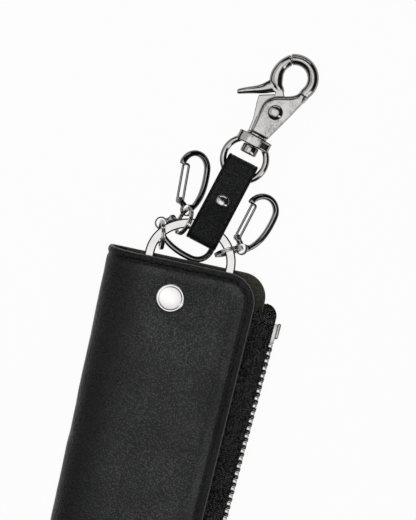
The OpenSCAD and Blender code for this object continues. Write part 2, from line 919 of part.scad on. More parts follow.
module strap_rivet_post() {
    head = 0.8;
    color(silver)
        strap_frame()
            translate([0, strap_top - strap_rivet_in, 0]) {
                translate([0, 0, -strap_leather - head]) cylinder(d = strap_rivet_d, h = head);
                translate([0, 0, -strap_leather - 0.1])
                    cylinder(d = snap_post_d - post_gap, h = 2 * strap_leather + 0.1);
            }
}

// Frame of the swivel: level, with its origin at the swivel ring's middle
wire_in = 8.75;
eye_z = pivot_z - (strap_top - wire_in + 1.1) * sin(strap_slope);
eye_reach = strap_top * cos(strap_slope) - wire_in + eye_r;
module swivel_frame() {
    b = bail_xy(strap_at);
    translate([b[0] + eye_reach * sin(strap_lean), b[1] + eye_reach * cos(strap_lean), eye_z])
        rotate([0, 0, -strap_lean])
            children();
}

// Cylinder along the swivel's axis
module axle(low, high, r, fn = 48) {
    translate([0, low, 0]) rotate([-90, 0, 0]) cylinder(r = r, h = high - low, $fn = fn);
}

band_low = 6.4;
band_high = 10.8;
band_half = 7.6;
band_t = 5.6;
stud_head_d = 7.3;
stud_head_h = 3.8;
washer_d = 9.3;
washer_t = 0.8;
swivel_gap = 0.1;
washer_low = band_high + swivel_gap;
body_low = washer_low + washer_t;
stud_end = body_low + 5;

module swivel_eye() {
    open_angle = 40;
    color(satin)
        swivel_frame()
            difference() {
                union() {
                    rotate([0, 0, 90 + open_angle])
                        rotate_extrude(angle = 360 - 2 * open_angle, $fn = 96)
                            translate([eye_r, 0]) circle(d = eye_wire, $fn = 32);
                    translate([-band_half, band_low, -band_t / 2])
                        cube([2 * band_half, band_high - band_low, band_t]);
                }
                axle(band_low - 3, band_high + 3, stud_d / 2 + pin_gap);
            }
}

module swivel_stud() {
    color(satin)
        swivel_frame() {
            axle(band_low - swivel_gap - stud_head_h, band_low - swivel_gap, stud_head_d / 2);
            axle(band_low - swivel_gap - 0.1, stud_end, stud_d / 2);
        }
}

module swivel_washer() {
    color(satin)
        swivel_frame()
            difference() {
                axle(washer_low, body_low, washer_d / 2);
                axle(washer_low - 1, body_low + 1, stud_d / 2 + 0.02);
            }
}

// Places in the hook's plane: X across it and Y along the swivel's axis
bow_at = [2.8, 40.3];
bow_low = -24;
bow_high = 125;
bow_low_in = bow_at + (bow_r - bow_d / 2) * [cos(bow_low), sin(bow_low)];
bow_low_out = bow_at + (bow_r + bow_d / 2) * [cos(bow_low + 8), sin(bow_low + 8)];
rivet_at = [2.4, 23.4];
slot_low = 18.6;
slot_t = lever_t + 0.4;

// Right side of the body, from its foot up to the bow
body_right = [[11.1, 32.4], [4.8, body_low]];
// Front cheek from its foot up its left side
front_cheek = concat([
    [-3.3, body_low], [-3.4, 15.7], [-3.7, 18.3], [-4.1, 21.4], [-4.2, 23.9], [-3.5, 26.1],
    [-1.9, 28], [0.1, 29.7], [2.5, 30.7], [6, 31.8], [9.8, 33.2]
], body_right);
// Rear cheek, which stands out beyond the front one on the left
rear_cheek = concat([
    [-4.4, body_low], [-4.8, 16.7], [-5.7, 20.2], [-6.8, 24], [-7.4, 27.2], [-0.3, 31.3],
    [2.5, 31.8], [9.8, 33.2]
], body_right);
// Neck between the cheeks and the bow
neck = [
    [4, 27], [2.8, 31.9], [4.6, 33.2], [6.3, 34.8], [7.5, 36.8], bow_low_in, bow_low_out,
    [11.1, 32.4], [9.4, 27]
];
// Slot that the lever turns in, with a wall on its right
slot_wall = [[4.9, slot_low], [6.9, 25.4]];
slot = concat([[-14, slot_low]], slot_wall, [[3.1, 32.2], [2.4, 34], [-14, 40]]);

module hook_body() {
    color(satin)
        swivel_frame()
            difference() {
                union() {
                    translate([0, 0, -hook_t / 2]) linear_extrude(hook_t) polygon(front_cheek);
                    translate([0, 0, -hook_t / 2])
                        linear_extrude((hook_t - slot_t) / 2) polygon(rear_cheek);
                    translate([0, 0, -bow_d / 2]) linear_extrude(bow_d) polygon(neck);
                    translate([bow_at[0], bow_at[1], 0])
                        rotate([0, 0, bow_low])
                            rotate_extrude(angle = bow_high - bow_low, $fn = 96)
                                translate([bow_r, 0]) circle(d = bow_d, $fn = 32);
                }
                translate([0, 0, -slot_t / 2]) linear_extrude(slot_t) polygon(slot);
                axle(body_low - 1, stud_end + 0.05, stud_d / 2 + 0.02);
                translate([rivet_at[0], rivet_at[1], -hook_t])
                    cylinder(d = lever_rivet_d + 0.04, h = 2 * hook_t);
            }
}

hook_rivet_head_d = 6.5;
module hook_rivet() {
    r = hook_rivet_head_d / 2;
    h = 1.3;
    ball = (r * r + h * h) / (2 * h);
    color(satin)
        swivel_frame()
            translate([rivet_at[0], rivet_at[1], 0]) {
                cylinder(d = lever_rivet_d, h = hook_t + 0.2, center = true);
                for (side = [0, 1])
                    mirror([0, 0, side])
                        translate([0, 0, hook_t / 2])
                            intersection() {
                                cylinder(r = r, h = h);
                                translate([0, 0, h - ball]) sphere(r = ball, $fn = 64);
                            }
            }
}

// Lever that shuts the hook: a flat plate with a boss, a thick jaw and a long thumb tab
lever_boss_r = 3.1;
lever_plate = [
    [0.6, 33.9], [-0.4, 34.6], [-6.7, 34.6], [-6.8, 33], [-7.9, 31.7], [-10.5, 29.8],
    [-13.4, 27.5], [-16.3, 25.3], [-16.8, 24.3], [-16.4, 23.4], [-15.5, 23.2], [-13.2, 24.3],
    [-7.9, 27.4], [-1.4, 31.1], [-1.3, 24], [5.3, 24.5], [3.4, 29], [2.3, 31.9]
];
// The jaw shuts against the bow's nose with a hair's gap
jaw_d = bow_d - 0.3;
jaw_angle = bow_high + 2.3;
jaw_end = [for (r = [bow_r + jaw_d / 2, bow_r - jaw_d / 2])
           bow_at + r * [cos(jaw_angle), sin(jaw_angle)]];
jaw = concat(
    [[-6.7, 34.5], [-7.2, 38.1], [-7.3, 42], [-6.4, 45.1]], jaw_end,
    [[-2.1, 43], [-2.6, 40.5], [-2.1, 38.2], [-0.9, 35.9], [0, 34.5]]
);
module trigger_lever() {
    color(satin)
        swivel_frame()
            difference() {
                union() {
                    translate([0, 0, -lever_t / 2])
                        linear_extrude(lever_t) {
                            polygon(lever_plate);
                            translate(rivet_at) circle(r = lever_boss_r);
                        }
                    translate([0, 0, -jaw_d / 2]) linear_extrude(jaw_d) polygon(jaw);
                }
                translate([rivet_at[0], rivet_at[1], -lever_t])
                    cylinder(r = lever_rivet_d / 2 + pin_gap, h = 2 * lever_t);
            }
}

// Leaf spring on the slot's wall beside the lever
module lever_spring() {
    spring_t = 0.4;
    spring_w = 2.4;
    color(silver)
        swivel_frame()
            translate([0, 0, -spring_w / 2])
                linear_extrude(spring_w)
                    polygon([
                        slot_wall[0], slot_wall[1], slot_wall[1] - [spring_t, 0],
                        slot_wall[0] + [-spring_t, spring_t], [0, slot_low + spring_t],
                        [0, slot_low]
                    ]);
}

back_panel();
back_lining();
pocket_gusset();
pocket_leaf();
leaf_lining();
zip_tape_front();
zip_tape_rear();
zip_teeth_front();
zip_teeth_rear();
zip_end_stop();
zip_top_stops();
zip_slider();
zip_pull();
key_plate();
key_plate_rivets();
bail_hinge_pin();
bail();
snap_stud();
snap_stud_post();
front_flap();
flap_lining();
flap_stitching();
snap_cap();
snap_socket();
split_ring_left();
split_ring_middle();
split_ring_right();
clip_left();
clip_middle();
clip_right();
clip_gate_left();
clip_gate_middle();
clip_gate_right();
strap();
strap_stitching();
strap_rivet_cap();
strap_rivet_post();
swivel_eye();
swivel_stud();
swivel_washer();
hook_body();
hook_rivet();
trigger_lever();
lever_spring();
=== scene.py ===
"""Folding leather key case: looks of every piece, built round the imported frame."""
import json
import math

import bmesh
import bpy
import numpy as np
from bpy.props import (FloatProperty, FloatVectorProperty, IntProperty,
                       PointerProperty)
from mathutils import Matrix, Vector

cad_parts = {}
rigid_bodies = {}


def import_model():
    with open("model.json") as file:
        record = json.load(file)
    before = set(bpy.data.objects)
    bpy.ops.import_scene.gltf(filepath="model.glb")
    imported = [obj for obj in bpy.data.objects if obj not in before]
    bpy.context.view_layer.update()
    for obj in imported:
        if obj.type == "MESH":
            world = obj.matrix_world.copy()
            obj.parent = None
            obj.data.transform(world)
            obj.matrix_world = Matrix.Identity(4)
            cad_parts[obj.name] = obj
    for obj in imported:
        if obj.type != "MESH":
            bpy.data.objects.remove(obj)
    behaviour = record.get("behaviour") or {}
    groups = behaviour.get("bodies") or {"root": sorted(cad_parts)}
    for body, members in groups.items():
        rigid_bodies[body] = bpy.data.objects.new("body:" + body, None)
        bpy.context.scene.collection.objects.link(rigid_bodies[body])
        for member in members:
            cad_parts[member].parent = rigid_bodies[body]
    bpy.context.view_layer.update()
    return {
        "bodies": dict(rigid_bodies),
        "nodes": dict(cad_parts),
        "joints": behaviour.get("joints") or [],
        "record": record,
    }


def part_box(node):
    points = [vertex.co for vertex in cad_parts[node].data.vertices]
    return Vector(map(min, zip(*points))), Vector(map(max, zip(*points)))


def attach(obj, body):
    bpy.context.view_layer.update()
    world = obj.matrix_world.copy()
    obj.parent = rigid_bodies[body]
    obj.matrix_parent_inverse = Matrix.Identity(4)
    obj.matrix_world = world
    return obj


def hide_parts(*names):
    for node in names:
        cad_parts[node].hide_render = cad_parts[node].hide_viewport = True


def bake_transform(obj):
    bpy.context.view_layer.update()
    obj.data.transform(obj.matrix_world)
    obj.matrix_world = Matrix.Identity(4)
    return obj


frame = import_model()

bl_info = {
    "name": "Key case",
    "version": (1, 0, 0),
    "blender": (4, 5, 0),
    "location": "3D View > Sidebar > Key case",
    "description": "Builds the leather key case, its zip and its hardware",
    "category": "Mesh",
}

MM = 0.001
# Units of the weave coordinates in a metre, and the angle that counts as an edge
UV_PER_M, SHARP = 10, 0.9

# Sizes of the case, in millimetres, as the solids have them
SPINE_X, LEAF_X = -34.8, 34.8
END_Y = round(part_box("back_panel")[1][1] / MM, 2)
LEATHER_T, LEAF_T, LINING_T = 1.6, 1.4, 0.4
POCKET_LOW, POCKET_HIGH = 2.0, 6.6
LEAF_LOW, LEAF_TOP = 7.0, 8.4
KEY_HIGH, FLAP_TOP = 13.6, 15.6
SPINE_R = 7.8
SPINE_MID_X = SPINE_X + SPINE_R
LEAF_R, FLAP_R = 10.6, 12.7
FLAP_X, FLAP_END = 30.7, END_Y - 1.5
# Right side, end and corner radius of the back and the leaf, and of the flap
LEAF_EDGE, FLAP_EDGE = (LEAF_X, END_Y, LEAF_R), (FLAP_X, FLAP_END, FLAP_R)
SIDE_LEAN = math.radians(1.5)
LINING_IN = 1.8
SNAP_AT = (-4.7, END_Y - 17.3)
POST_R = 1.25
STITCH_IN = 3.5
# Zip
CHAIN_X, CHAIN_Z = LEAF_X - (END_Y - LEAF_R) * math.tan(SIDE_LEAN) + 6.0, 4.3
ZIP_LEAN = -2.6
TAPE_FOOT, TAPE_TOP = 3.4 - END_Y, END_Y - 11.5
TAPE_T, TAPE_R, TAPE_FREE, MARGIN_TOP = 0.6, 5.0, -7.0, 50.0
CHAIN_HALF = 2.8
STOP_TOP, STOP_LEN = END_Y - 18.1, 9.1
TOOTH_W, TOOTH_PITCH, TOOTH_D, TEETH_SHIFT = 1.6, 3.3, 2.1, 0.15
SLIDER_Y, SLIDER_LEN, SLIDER_W, SLIDER_PLATE = 11 - END_Y, 10.0, 7.6, 1.1
SLIDER_GAP, BRIDGE_LEN = 0.2, 1.8
PLATE_X = TOOTH_D / 2 + SLIDER_GAP
LUG_X = PLATE_X + SLIDER_PLATE + 1
# Bail and key plate
BAIL_HALF, BAIL_H, BAIL_Y = 17.4, 15.5, END_Y + 0.2
STRIP_W, STRIP_T = 4.0, 1.6
PIVOT_Y, PIVOT_Z = END_Y - 6, 10.5
PIN_R, PIN_GAP, EAR_W, EAR_GAP, KEY_PLATE_T = 0.8, 0.05, 1.8, 0.2, 0.8
KNUCKLE_R = PIN_R + PIN_GAP + 0.75
EAR_IN = BAIL_HALF - STRIP_W / 2 - EAR_GAP - EAR_W
EAR_OUT = BAIL_HALF + STRIP_W / 2 + EAR_GAP
PLATE_HALF = EAR_OUT + EAR_W
PLATE_TOP, PLATE_LOW = END_Y - 3.6, END_Y - 13.0
PLATE_MID = PLATE_LOW + 3.05
# Split rings
RING_OD, RING_WIRE, RING_TURN = 12.7, 1.25, 0.8
RING_MEAN = RING_OD / 2 - RING_WIRE / 2
RING_AT = (145, 110.9, 27.2)
RING_YAW = (100.7, 76.6, 27.8)
RING_TILT = (-81.6, -67.1, 81.4)
RING_ALONG = (-0.97, 1.09, -0.17)
RING_DOWN = (1.29, 0.49, 3.34)
# Wire gate clips
CLIP_ON = (29.5, 33.9, -17.9)
CLIP_YAW = (-12.2, 95.4, 78.3)
CLIP_PITCH = (-9.1, -0.5, 0.4)
CLIP_ROLL = (-8, 36, 26.2)
CLIP_BAR = 2.6
TOP_R = 16 / 2 - CLIP_BAR / 2
TOP_X = 28.5 - CLIP_BAR / 2 - TOP_R
EYE_R = 4.1 / 2 + 0.7
EYE_AT = (EYE_R, 1.7)
STUB_AT = (6.4, TOP_R - 1.1)
HEEL = (3.4, -0.6)
GATE_TIP = (TOP_X + 1.2, TOP_R - 2.15)
GATE_R = 1.1 / 2
GATE_Z = CLIP_BAR / 2 + GATE_R + 0.25
# Strap
STRAP_AT, STRAP_LEAN, STRAP_SLOPE = 74.3, 15.5, 12.0
STRAP_W, STRAP_T = 13.8, 1.4
STRAP_TOP, STRAP_TAIL = 41.1 - 7.7, 7.7
LOOP_R = 2.1
LOOP_MID = (STRAP_T + LOOP_R - STRAP_TAIL, STRAP_TOP - STRAP_T - LOOP_R)
LOW_FULL, FLAT_LOW = 2.8, 9.6
HIGH_FULL, FLAT_HIGH = STRAP_TOP - 10.6, STRAP_TOP - 17.2
RIVET_Y, RIVET_D, RIVET_H = STRAP_TOP - 20.6, 6.2, 1.6
# Trigger snap
WIRE_IN = 8.75
SWIVEL_R, SWIVEL_WIRE = 9.15, 2.9
EYE_Z = PIVOT_Z - (STRAP_TOP - WIRE_IN + 1.1) * math.sin(math.radians(STRAP_SLOPE))
EYE_REACH = STRAP_TOP * math.cos(math.radians(STRAP_SLOPE)) - WIRE_IN + SWIVEL_R
BAND_LOW, BAND_HIGH, BAND_HALF, BAND_T = 6.4, 10.8, 7.6, 5.6
WASHER_LOW, BODY_LOW, WASHER_R = 10.9, 11.7, 4.65
STUD_R, STUD_HEAD_R = 1.6, 3.65
BOW_AT, BOW_R, BOW_D = (2.8, 40.3), 7.95, 4.9
BOW_LOW, BOW_HIGH = -24, 125
RIVET_AT = (2.4, 23.4)
HOOK_T, LEVER_T, SLOT_T = 6.6, 3.0, 3.4

NAMES = ("left", "middle", "right")


# Places
def sin(a):
    return math.sin(math.radians(a))


def cos(a):
    return math.cos(math.radians(a))


def turned(x=0.0, y=0.0, z=0.0):
    """Turn about X, then Y, then Z, in degrees."""
    return (Matrix.Rotation(math.radians(z), 4, "Z")
            @ Matrix.Rotation(math.radians(y), 4, "Y")
            @ Matrix.Rotation(math.radians(x), 4, "X"))


def moved(x, y, z=0.0):
    return Matrix.Translation((x, y, z))


def bail_xy(t):
    return (BAIL_HALF * cos(t), BAIL_Y + BAIL_H * sin(t))


def ring_frame(i):
    bx, by = bail_xy(RING_AT[i])
    return moved(bx + RING_ALONG[i] * cos(RING_YAW[i]),
                 by + RING_ALONG[i] * sin(RING_YAW[i]),
                 PIVOT_Z - RING_DOWN[i]) @ turned(RING_TILT[i], 0, RING_YAW[i])


def clip_frame(i):
    t = CLIP_ON[i]
    eye = ring_frame(i) @ Vector((RING_MEAN * cos(t), RING_MEAN * sin(t), 0))
    return (moved(*eye) @ turned(CLIP_ROLL[i], -CLIP_PITCH[i], CLIP_YAW[i])
            @ moved(-EYE_AT[0], -EYE_AT[1]))


def zip_frame():
    return moved(CHAIN_X, 0, CHAIN_Z) @ turned(0, 0, ZIP_LEAN)


def strap_frame():
    return moved(*bail_xy(STRAP_AT), PIVOT_Z) @ turned(-STRAP_SLOPE, 0, -STRAP_LEAN)


def swivel_frame():
    bx, by = bail_xy(STRAP_AT)
    return moved(bx + EYE_REACH * sin(STRAP_LEAN), by + EYE_REACH * cos(STRAP_LEAN),
                 EYE_Z) @ turned(0, 0, -STRAP_LEAN)


# Mesh code
UPRIGHT = Matrix(((0, 0, 1, 0), (1, 0, 0, 0), (0, 1, 0, 0), (0, 0, 0, 1)))


class Skin:
    """Vertices in millimetres, faces and, where asked for, weave coordinates."""

    def __init__(self):
        self.points, self.faces, self.weave, self.count = [], [], [], 0

    def add(self, points, faces, weave=None):
        points = np.asarray(points, float).reshape(-1, 3)
        self.points.append(points)
        self.faces += [tuple(self.count + k for k in f) for f in faces]
        flat = np.zeros((len(points), 2)) if weave is None else weave
        self.weave.append(np.asarray(flat, float).reshape(-1, 2))
        self.count += len(points)
        return self

    def grid(self, points, wrap_u=False, wrap_v=False, caps=False, weave=None,
             flip=False):
        """Quads over an array of rows (u) of points (v)."""
        nu, nv = points.shape[:2]
        faces = []
        for i in range(nu if wrap_u else nu - 1):
            for j in range(nv if wrap_v else nv - 1):
                a, b = i * nv + j, ((i + 1) % nu) * nv + j
                c, d = ((i + 1) % nu) * nv + (j + 1) % nv, i * nv + (j + 1) % nv
                faces.append((a, d, c, b) if flip else (a, b, c, d))
        if caps:
            faces += [range(nv), range(nu * nv - 1, (nu - 1) * nv - 1, -1)]
        return self.add(points, faces, weave)

    def faced(self, above, below, weave, wrap_u=False):
        """An upper and a lower face that meet at their rims."""
        self.grid(above, wrap_u, weave=weave)
        return self.grid(below, wrap_u, weave=weave, flip=True)

    def strip(self, above, below, weave=None):
        """An upper and a lower face with walls and ends between them."""
        ring = np.concatenate([above, below[:, ::-1]], axis=1)
        if weave is not None:
            weave = np.concatenate([weave, weave[:, ::-1]], axis=1)
        return self.grid(ring, wrap_v=True, caps=True, weave=weave)

    def sweep(self, path, section, up=(0, 0, 1), closed=False, scale=None, weave=False):
        """A section (side, up) carried along a path."""
        path, section = np.asarray(path, float), np.asarray(section, float)
        if path.shape[1] == 2:
            path = np.c_[path, np.zeros(len(path))]
        side, ups = frames_along(path, up, closed)
        size = np.ones((len(path), 2)) if scale is None else np.asarray(scale, float)
        if size.ndim == 1:
            size = np.stack([size, size], 1)
        rows = (path[:, None, :]
                + section[None, :, 0:1] * size[:, None, 0:1] * side[:, None, :]
                + section[None, :, 1:2] * size[:, None, 1:2] * ups[:, None, :])
        flat = None
        if weave:
            flat = np.stack(np.broadcast_arrays(section[None, :, 0],
                                                run_of(path)[:, None]), -1)
        return self.grid(rows, wrap_u=closed, wrap_v=True, caps=not closed, weave=flat)

    def lathe(self, profile, at=(0, 0), n=64, axis=None):
        """A profile of (radius, height) turned round Z, or round the axis matrix's Z."""
        profile = np.asarray(profile, float)
        a = np.arange(n) * 2 * np.pi / n
        rows = np.stack([profile[None, :, 0] * np.cos(a)[:, None],
                         profile[None, :, 0] * np.sin(a)[:, None],
                         np.broadcast_to(profile[:, 1], (n, len(profile)))], -1)
        if axis is not None:
            rows = rows @ np.array(axis.to_3x3()).T + np.array(axis.translation)
        return self.grid(rows + np.array([*at, 0]), wrap_u=True)

    def placed(self, matrix):
        turn, shift = np.array(matrix.to_3x3()), np.array(matrix.translation)
        self.points = [p @ turn.T + shift for p in self.points]
        return self

    def mesh(self, name="solid"):
        data = bpy.data.meshes.new(name)
        data.from_pydata((np.concatenate(self.points) * MM).tolist(), [], self.faces)
        data.validate()
        layer = data.uv_layers.new(name="weave")
        flat = np.concatenate(self.weave) * MM * UV_PER_M
        loops = np.zeros(len(data.loops), np.int64)
        data.loops.foreach_get("vertex_index", loops)
        layer.data.foreach_set("uv", flat[loops].ravel().astype(np.float32))
        return data

    def solid(self):
        return clean(self.mesh())


def clean(data, merge=0.002, smooth_angle=None):
    """Merges doubles, turns the faces outwards and shades the mesh smooth."""
    bm = bmesh.new()
    bm.from_mesh(data)
    if merge:
        bmesh.ops.remove_doubles(bm, verts=bm.verts, dist=merge * MM)
    bmesh.ops.recalc_face_normals(bm, faces=bm.faces)
    for f in bm.faces:
        f.smooth = True
    if smooth_angle is not None:
        for e in bm.edges:
            if len(e.link_faces) == 2 and e.calc_face_angle(0) > smooth_angle:
                e.smooth = False
    bm.to_mesh(data)
    bm.free()
    return data


def in_metres(matrix):
    placed = matrix.copy()
    placed.translation = matrix.translation * MM
    return placed


def piece(name, shape, finish, body, *nodes, slot=None, frame=None, merge=0.002,
          keep_angle=None):
    """An object of a skin or a mesh, with its finish, body and nodes; the slot is not used.
    """
    if isinstance(shape, Skin):
        shape = (shape if frame is None else shape.placed(frame)).mesh(name)
    elif frame is not None:
        shape.transform(in_metres(frame))
    clean(shape, merge, keep_angle)
    shape.materials.clear()
    shape.materials.append(finish_of(finish))
    obj = bpy.data.objects.new(name, shape)
    bpy.context.scene.collection.objects.link(obj)
    if body:
        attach(obj, body)
    slot or finish
    if nodes:
        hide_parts(*nodes)
    return obj


def frames_along(path, up, closed=False):
    """Side and up directions along a path, kept from twisting."""
    if closed:
        tangent = np.roll(path, -1, 0) - np.roll(path, 1, 0)
    else:
        tangent = np.gradient(path, axis=0)
    tangent /= np.linalg.norm(tangent, axis=1)[:, None]
    side = np.cross(tangent, np.broadcast_to(np.asarray(up, float), path.shape))
    side /= np.linalg.norm(side, axis=1)[:, None]
    return side, np.cross(side, tangent)


def circle_section(r, n=16, flat=1.0):
    a = np.arange(n) * 2 * np.pi / n
    return np.stack([r * np.cos(a), r * flat * np.sin(a)], 1)


def soft_box(w, h, r, n=4):
    """Rectangle w by h with corners rounded by r."""
    x, y = w / 2 - r, h / 2 - r
    return np.array([(cx + r * cos(start + 90 * k / n), cy + r * sin(start + 90 * k / n))
                     for cx, cy, start in ((x, y, 0), (-x, y, 90), (-x, -y, 180),
                                           (x, -y, 270)) for k in range(n + 1)])


def slab(outline, low, high, bevel=0.0, steps=2, holes=(), stand=False):
    """A plate of an outline, its edges rounded by bevel; stand turns its Z to X."""
    bm = bmesh.new()
    edges = []
    for loop in (outline, *holes):
        verts = [bm.verts.new((x * MM, y * MM, low * MM)) for x, y in loop]
        edges += [bm.edges.new((verts[k - 1], verts[k])) for k in range(len(verts))]
    bmesh.ops.triangle_fill(bm, use_beauty=True, use_dissolve=True, edges=edges)
    top = bmesh.ops.extrude_face_region(bm, geom=list(bm.faces))
    lifted = [g for g in top["geom"] if isinstance(g, bmesh.types.BMVert)]
    bmesh.ops.translate(bm, verts=lifted, vec=(0, 0, (high - low) * MM))
    bmesh.ops.recalc_face_normals(bm, faces=bm.faces)
    if bevel:
        sharp = [e for e in bm.edges
                 if len(e.link_faces) == 2 and e.calc_face_angle(0) > SHARP]
        bmesh.ops.bevel(bm, geom=sharp, offset=bevel * MM, segments=steps,
                        profile=0.5, affect="EDGES", clamp_overlap=True)
    if stand:
        bmesh.ops.transform(bm, matrix=UPRIGHT, verts=bm.verts)
    return to_mesh(bm)


def to_mesh(bm):
    data = bpy.data.meshes.new("solid")
    bm.to_mesh(data)
    bm.free()
    return data


def block(lo, hi, bevel, steps=2):
    outline = [(lo[0], lo[1]), (hi[0], lo[1]), (hi[0], hi[1]), (lo[0], hi[1])]
    return slab(outline, lo[2], hi[2], bevel, steps)


def joined(*meshes):
    """One mesh from several."""
    bm = bmesh.new()
    for m in meshes:
        bm.from_mesh(m)
        bpy.data.meshes.remove(m)
    return to_mesh(bm)


def cast(data, *cuts, voxel=0.18, rounds=7):
    """Melts overlapping shapes into one cast skin, with cuts taken out of it."""
    link = bpy.context.scene.collection.objects.link
    obj = bpy.data.objects.new("cast", data)
    link(obj)
    tools = [bpy.data.objects.new("cut", cut) for cut in cuts]

    def change(kind, **settings):
        modifier = obj.modifiers.new(kind, kind)
        for key, value in settings.items():
            setattr(modifier, key, value)

    change("REMESH", mode="VOXEL", voxel_size=voxel * MM)
    for tool in tools:
        link(tool)
        change("BOOLEAN", operation="DIFFERENCE", solver="EXACT", object=tool)
    change("REMESH", mode="VOXEL", voxel_size=voxel * MM)
    change("SMOOTH", factor=0.5, iterations=rounds)
    graph = bpy.context.evaluated_depsgraph_get()
    out = bpy.data.meshes.new_from_object(obj.evaluated_get(graph))
    for o in (obj, *tools):
        bpy.data.objects.remove(o)
    return out


# Lines and sheets
LEAN = math.degrees(SIDE_LEAN)
# Corners are split here between a sheet's side and its ends
SPLIT = 45


def arc(c, r, a, b, n=12):
    return [(c[0] + r * cos(a + (b - a) * k / n), c[1] + r * sin(a + (b - a) * k / n))
            for k in range(n + 1)]


def run_of(line):
    """Distance run along a line at each of its points."""
    return np.concatenate([[0], np.cumsum(np.linalg.norm(np.diff(line, axis=0), axis=1))])


def picked(line, run, t):
    """Points of a line at distances t along it."""
    return np.stack([np.interp(t, run, line[:, k]) for k in range(line.shape[1])], 1)


def even(line, n):
    """The same line with n points, evenly spaced."""
    line = np.asarray(line, float)
    run = run_of(line)
    return picked(line, run, np.linspace(0, run[-1], n))


def along(line, places):
    """Points of a line at places from 0 to 1."""
    line = np.asarray(line, float)
    run = run_of(line)
    return picked(line, run, places * run[-1])


def curve(points, n=6):
    """A smooth line through the points."""
    p = np.asarray(points, float)
    p = np.concatenate([2 * p[:1] - p[1:2], p, 2 * p[-1:] - p[-2:-1]])
    t = (np.arange(n) / n)[:, None]
    line = [0.5 * (2 * b + (c - a) * t + (2 * a - 5 * b + 4 * c - d) * t ** 2
                   + (3 * b - a - 3 * c + d) * t ** 3)
            for a, b, c, d in zip(p, p[1:], p[2:], p[3:])]
    return np.concatenate([*line, p[-2:-1]])


EDGE_STEPS = [0, .05, .15, .3, .5, .75, 1.05, 1.45, 1.9, 2.35, 2.7, 2.95, 3.2, 3.5,
              3.8, 4.05, 4.3, 4.65, 5.1, 5.7, 6.5, 7.6]


def spread(length, step):
    """Places from 0 to 1 along a length, close together near its ends."""
    far = [length - e for e in EDGE_STEPS][::-1]
    inner = np.arange(EDGE_STEPS[-1], far[0], step)[1:]
    if len(inner) and far[0] - inner[-1] < step / 2:
        inner = inner[:-1]
    return np.array(EDGE_STEPS + list(inner) + far) / length


def patch(bottom, top, left, right, us, vs):
    """Points (u, v) of a smooth patch between four lines."""
    b, t = along(bottom, us), along(top, us)
    l, r = along(left, vs), along(right, vs)
    u, v = us[:, None, None], vs[None, :, None]
    mix = (1 - v) * b[:, None] + v * t[:, None] + (1 - u) * l[None] + u * r[None]
    flat = ((1 - u) * (1 - v) * b[0] + u * (1 - v) * b[-1]
            + (1 - u) * v * t[0] + u * v * t[-1])
    return mix - flat


def edge_distance(points, loop):
    """Distance from each point to a closed line of points."""
    p = points.reshape(-1, 2)
    a = np.asarray(loop, float)
    best = np.full(len(p), np.inf)
    for s, e in zip(a, np.roll(a, -1, 0)):
        d = e - s
        length = d @ d
        if length < 1e-12:
            continue
        t = np.clip((p - s) @ d / length, 0, 1)
        best = np.minimum(best, np.hypot(*(p - s - t[:, None] * d).T))
    return best.reshape(points.shape[:2])


def edge_x(right, y, top, r):
    return right + (y - top + r) * math.tan(SIDE_LEAN)


def corner(side, right, top, r):
    """Centre of the upper (1) or the lower (-1) rounded corner."""
    y = side * (top - r)
    return (edge_x(right, y, top, r) - r / math.cos(SIDE_LEAN), y)


def half_corner(side, right, top, r, first, last, n=10):
    return arc(corner(side, right, top, r), r, first, last, n)


def free_side(right, top, r):
    """The leaning right side with the near half of both corners."""
    return (half_corner(-1, right, top, r, -SPLIT, -LEAN)
            + half_corner(1, right, top, r, -LEAN, SPLIT))


def sheet_outline(right, top, r, start=SPINE_MID_X, n=10):
    """Outline of a sheet from the spine round its leaning right side."""
    return ([(start, -top)] + half_corner(-1, right, top, r, -90, -LEAN, n)
            + half_corner(1, right, top, r, -LEAN, 90, n) + [(start, top)])


def round_edge(d, half):
    """Share of the half thickness that is left at a distance from the edge."""
    k = np.clip(d / half, 0, 1)
    return np.sqrt(np.maximum(0, 1 - (1 - k) ** 2))


def bump(d, middle, width):
    return np.exp(-((d - middle) / width) ** 2)


def step(x, a, b):
    t = np.clip((x - a) / (b - a), 0, 1)
    return t * t * (3 - 2 * t)


class Waves:
    """Smooth seeded unevenness over a surface."""

    def __init__(self, seed, size, count=10):
        rng = np.random.default_rng(seed)
        a = rng.uniform(0, np.pi, count)
        f = 2 * np.pi / (size * rng.uniform(0.7, 1.8, count))
        self.parts = list(zip(f * np.cos(a), f * np.sin(a),
                              rng.uniform(0, 2 * np.pi, count)))

    def __call__(self, x, y):
        return (sum(np.sin(kx * x + ky * y + phase) for kx, ky, phase in self.parts)
                / math.sqrt(len(self.parts)))


def flat_sheet(low, thick, right, top, r, step_mm=2.0, over=None, under=None):
    """A leather or cloth sheet of the leaf's outline with rolled edges."""
    left = [(SPINE_MID_X, -top), (SPINE_MID_X, top)]
    bottom = left[:1] + half_corner(-1, right, top, r, -90, -SPLIT)
    upper = left[1:] + half_corner(1, right, top, r, 90, SPLIT)
    side = free_side(right, top, r)
    xy = patch(bottom, upper, left, side, spread(right - SPINE_MID_X, step_mm),
               spread(2 * top, step_mm))
    d = edge_distance(xy, bottom + side[1:-1] + upper[::-1])
    half = thick / 2
    share = half * round_edge(d, half)
    x, y = xy[..., 0], xy[..., 1]
    up = share + (over(x, y, d) if over else 0)
    down = share + (under(x, y, d) if under else 0)
    return Skin().faced(np.dstack([xy, low + half + up]),
                        np.dstack([xy, low + half - down]), np.dstack([d, y]))


# Shader maths
def overload(operation):
    """The plain and the reflected method of one operator."""
    return (lambda self, o: self.maths(operation, self, o),
            lambda self, o: self.maths(operation, o, self))


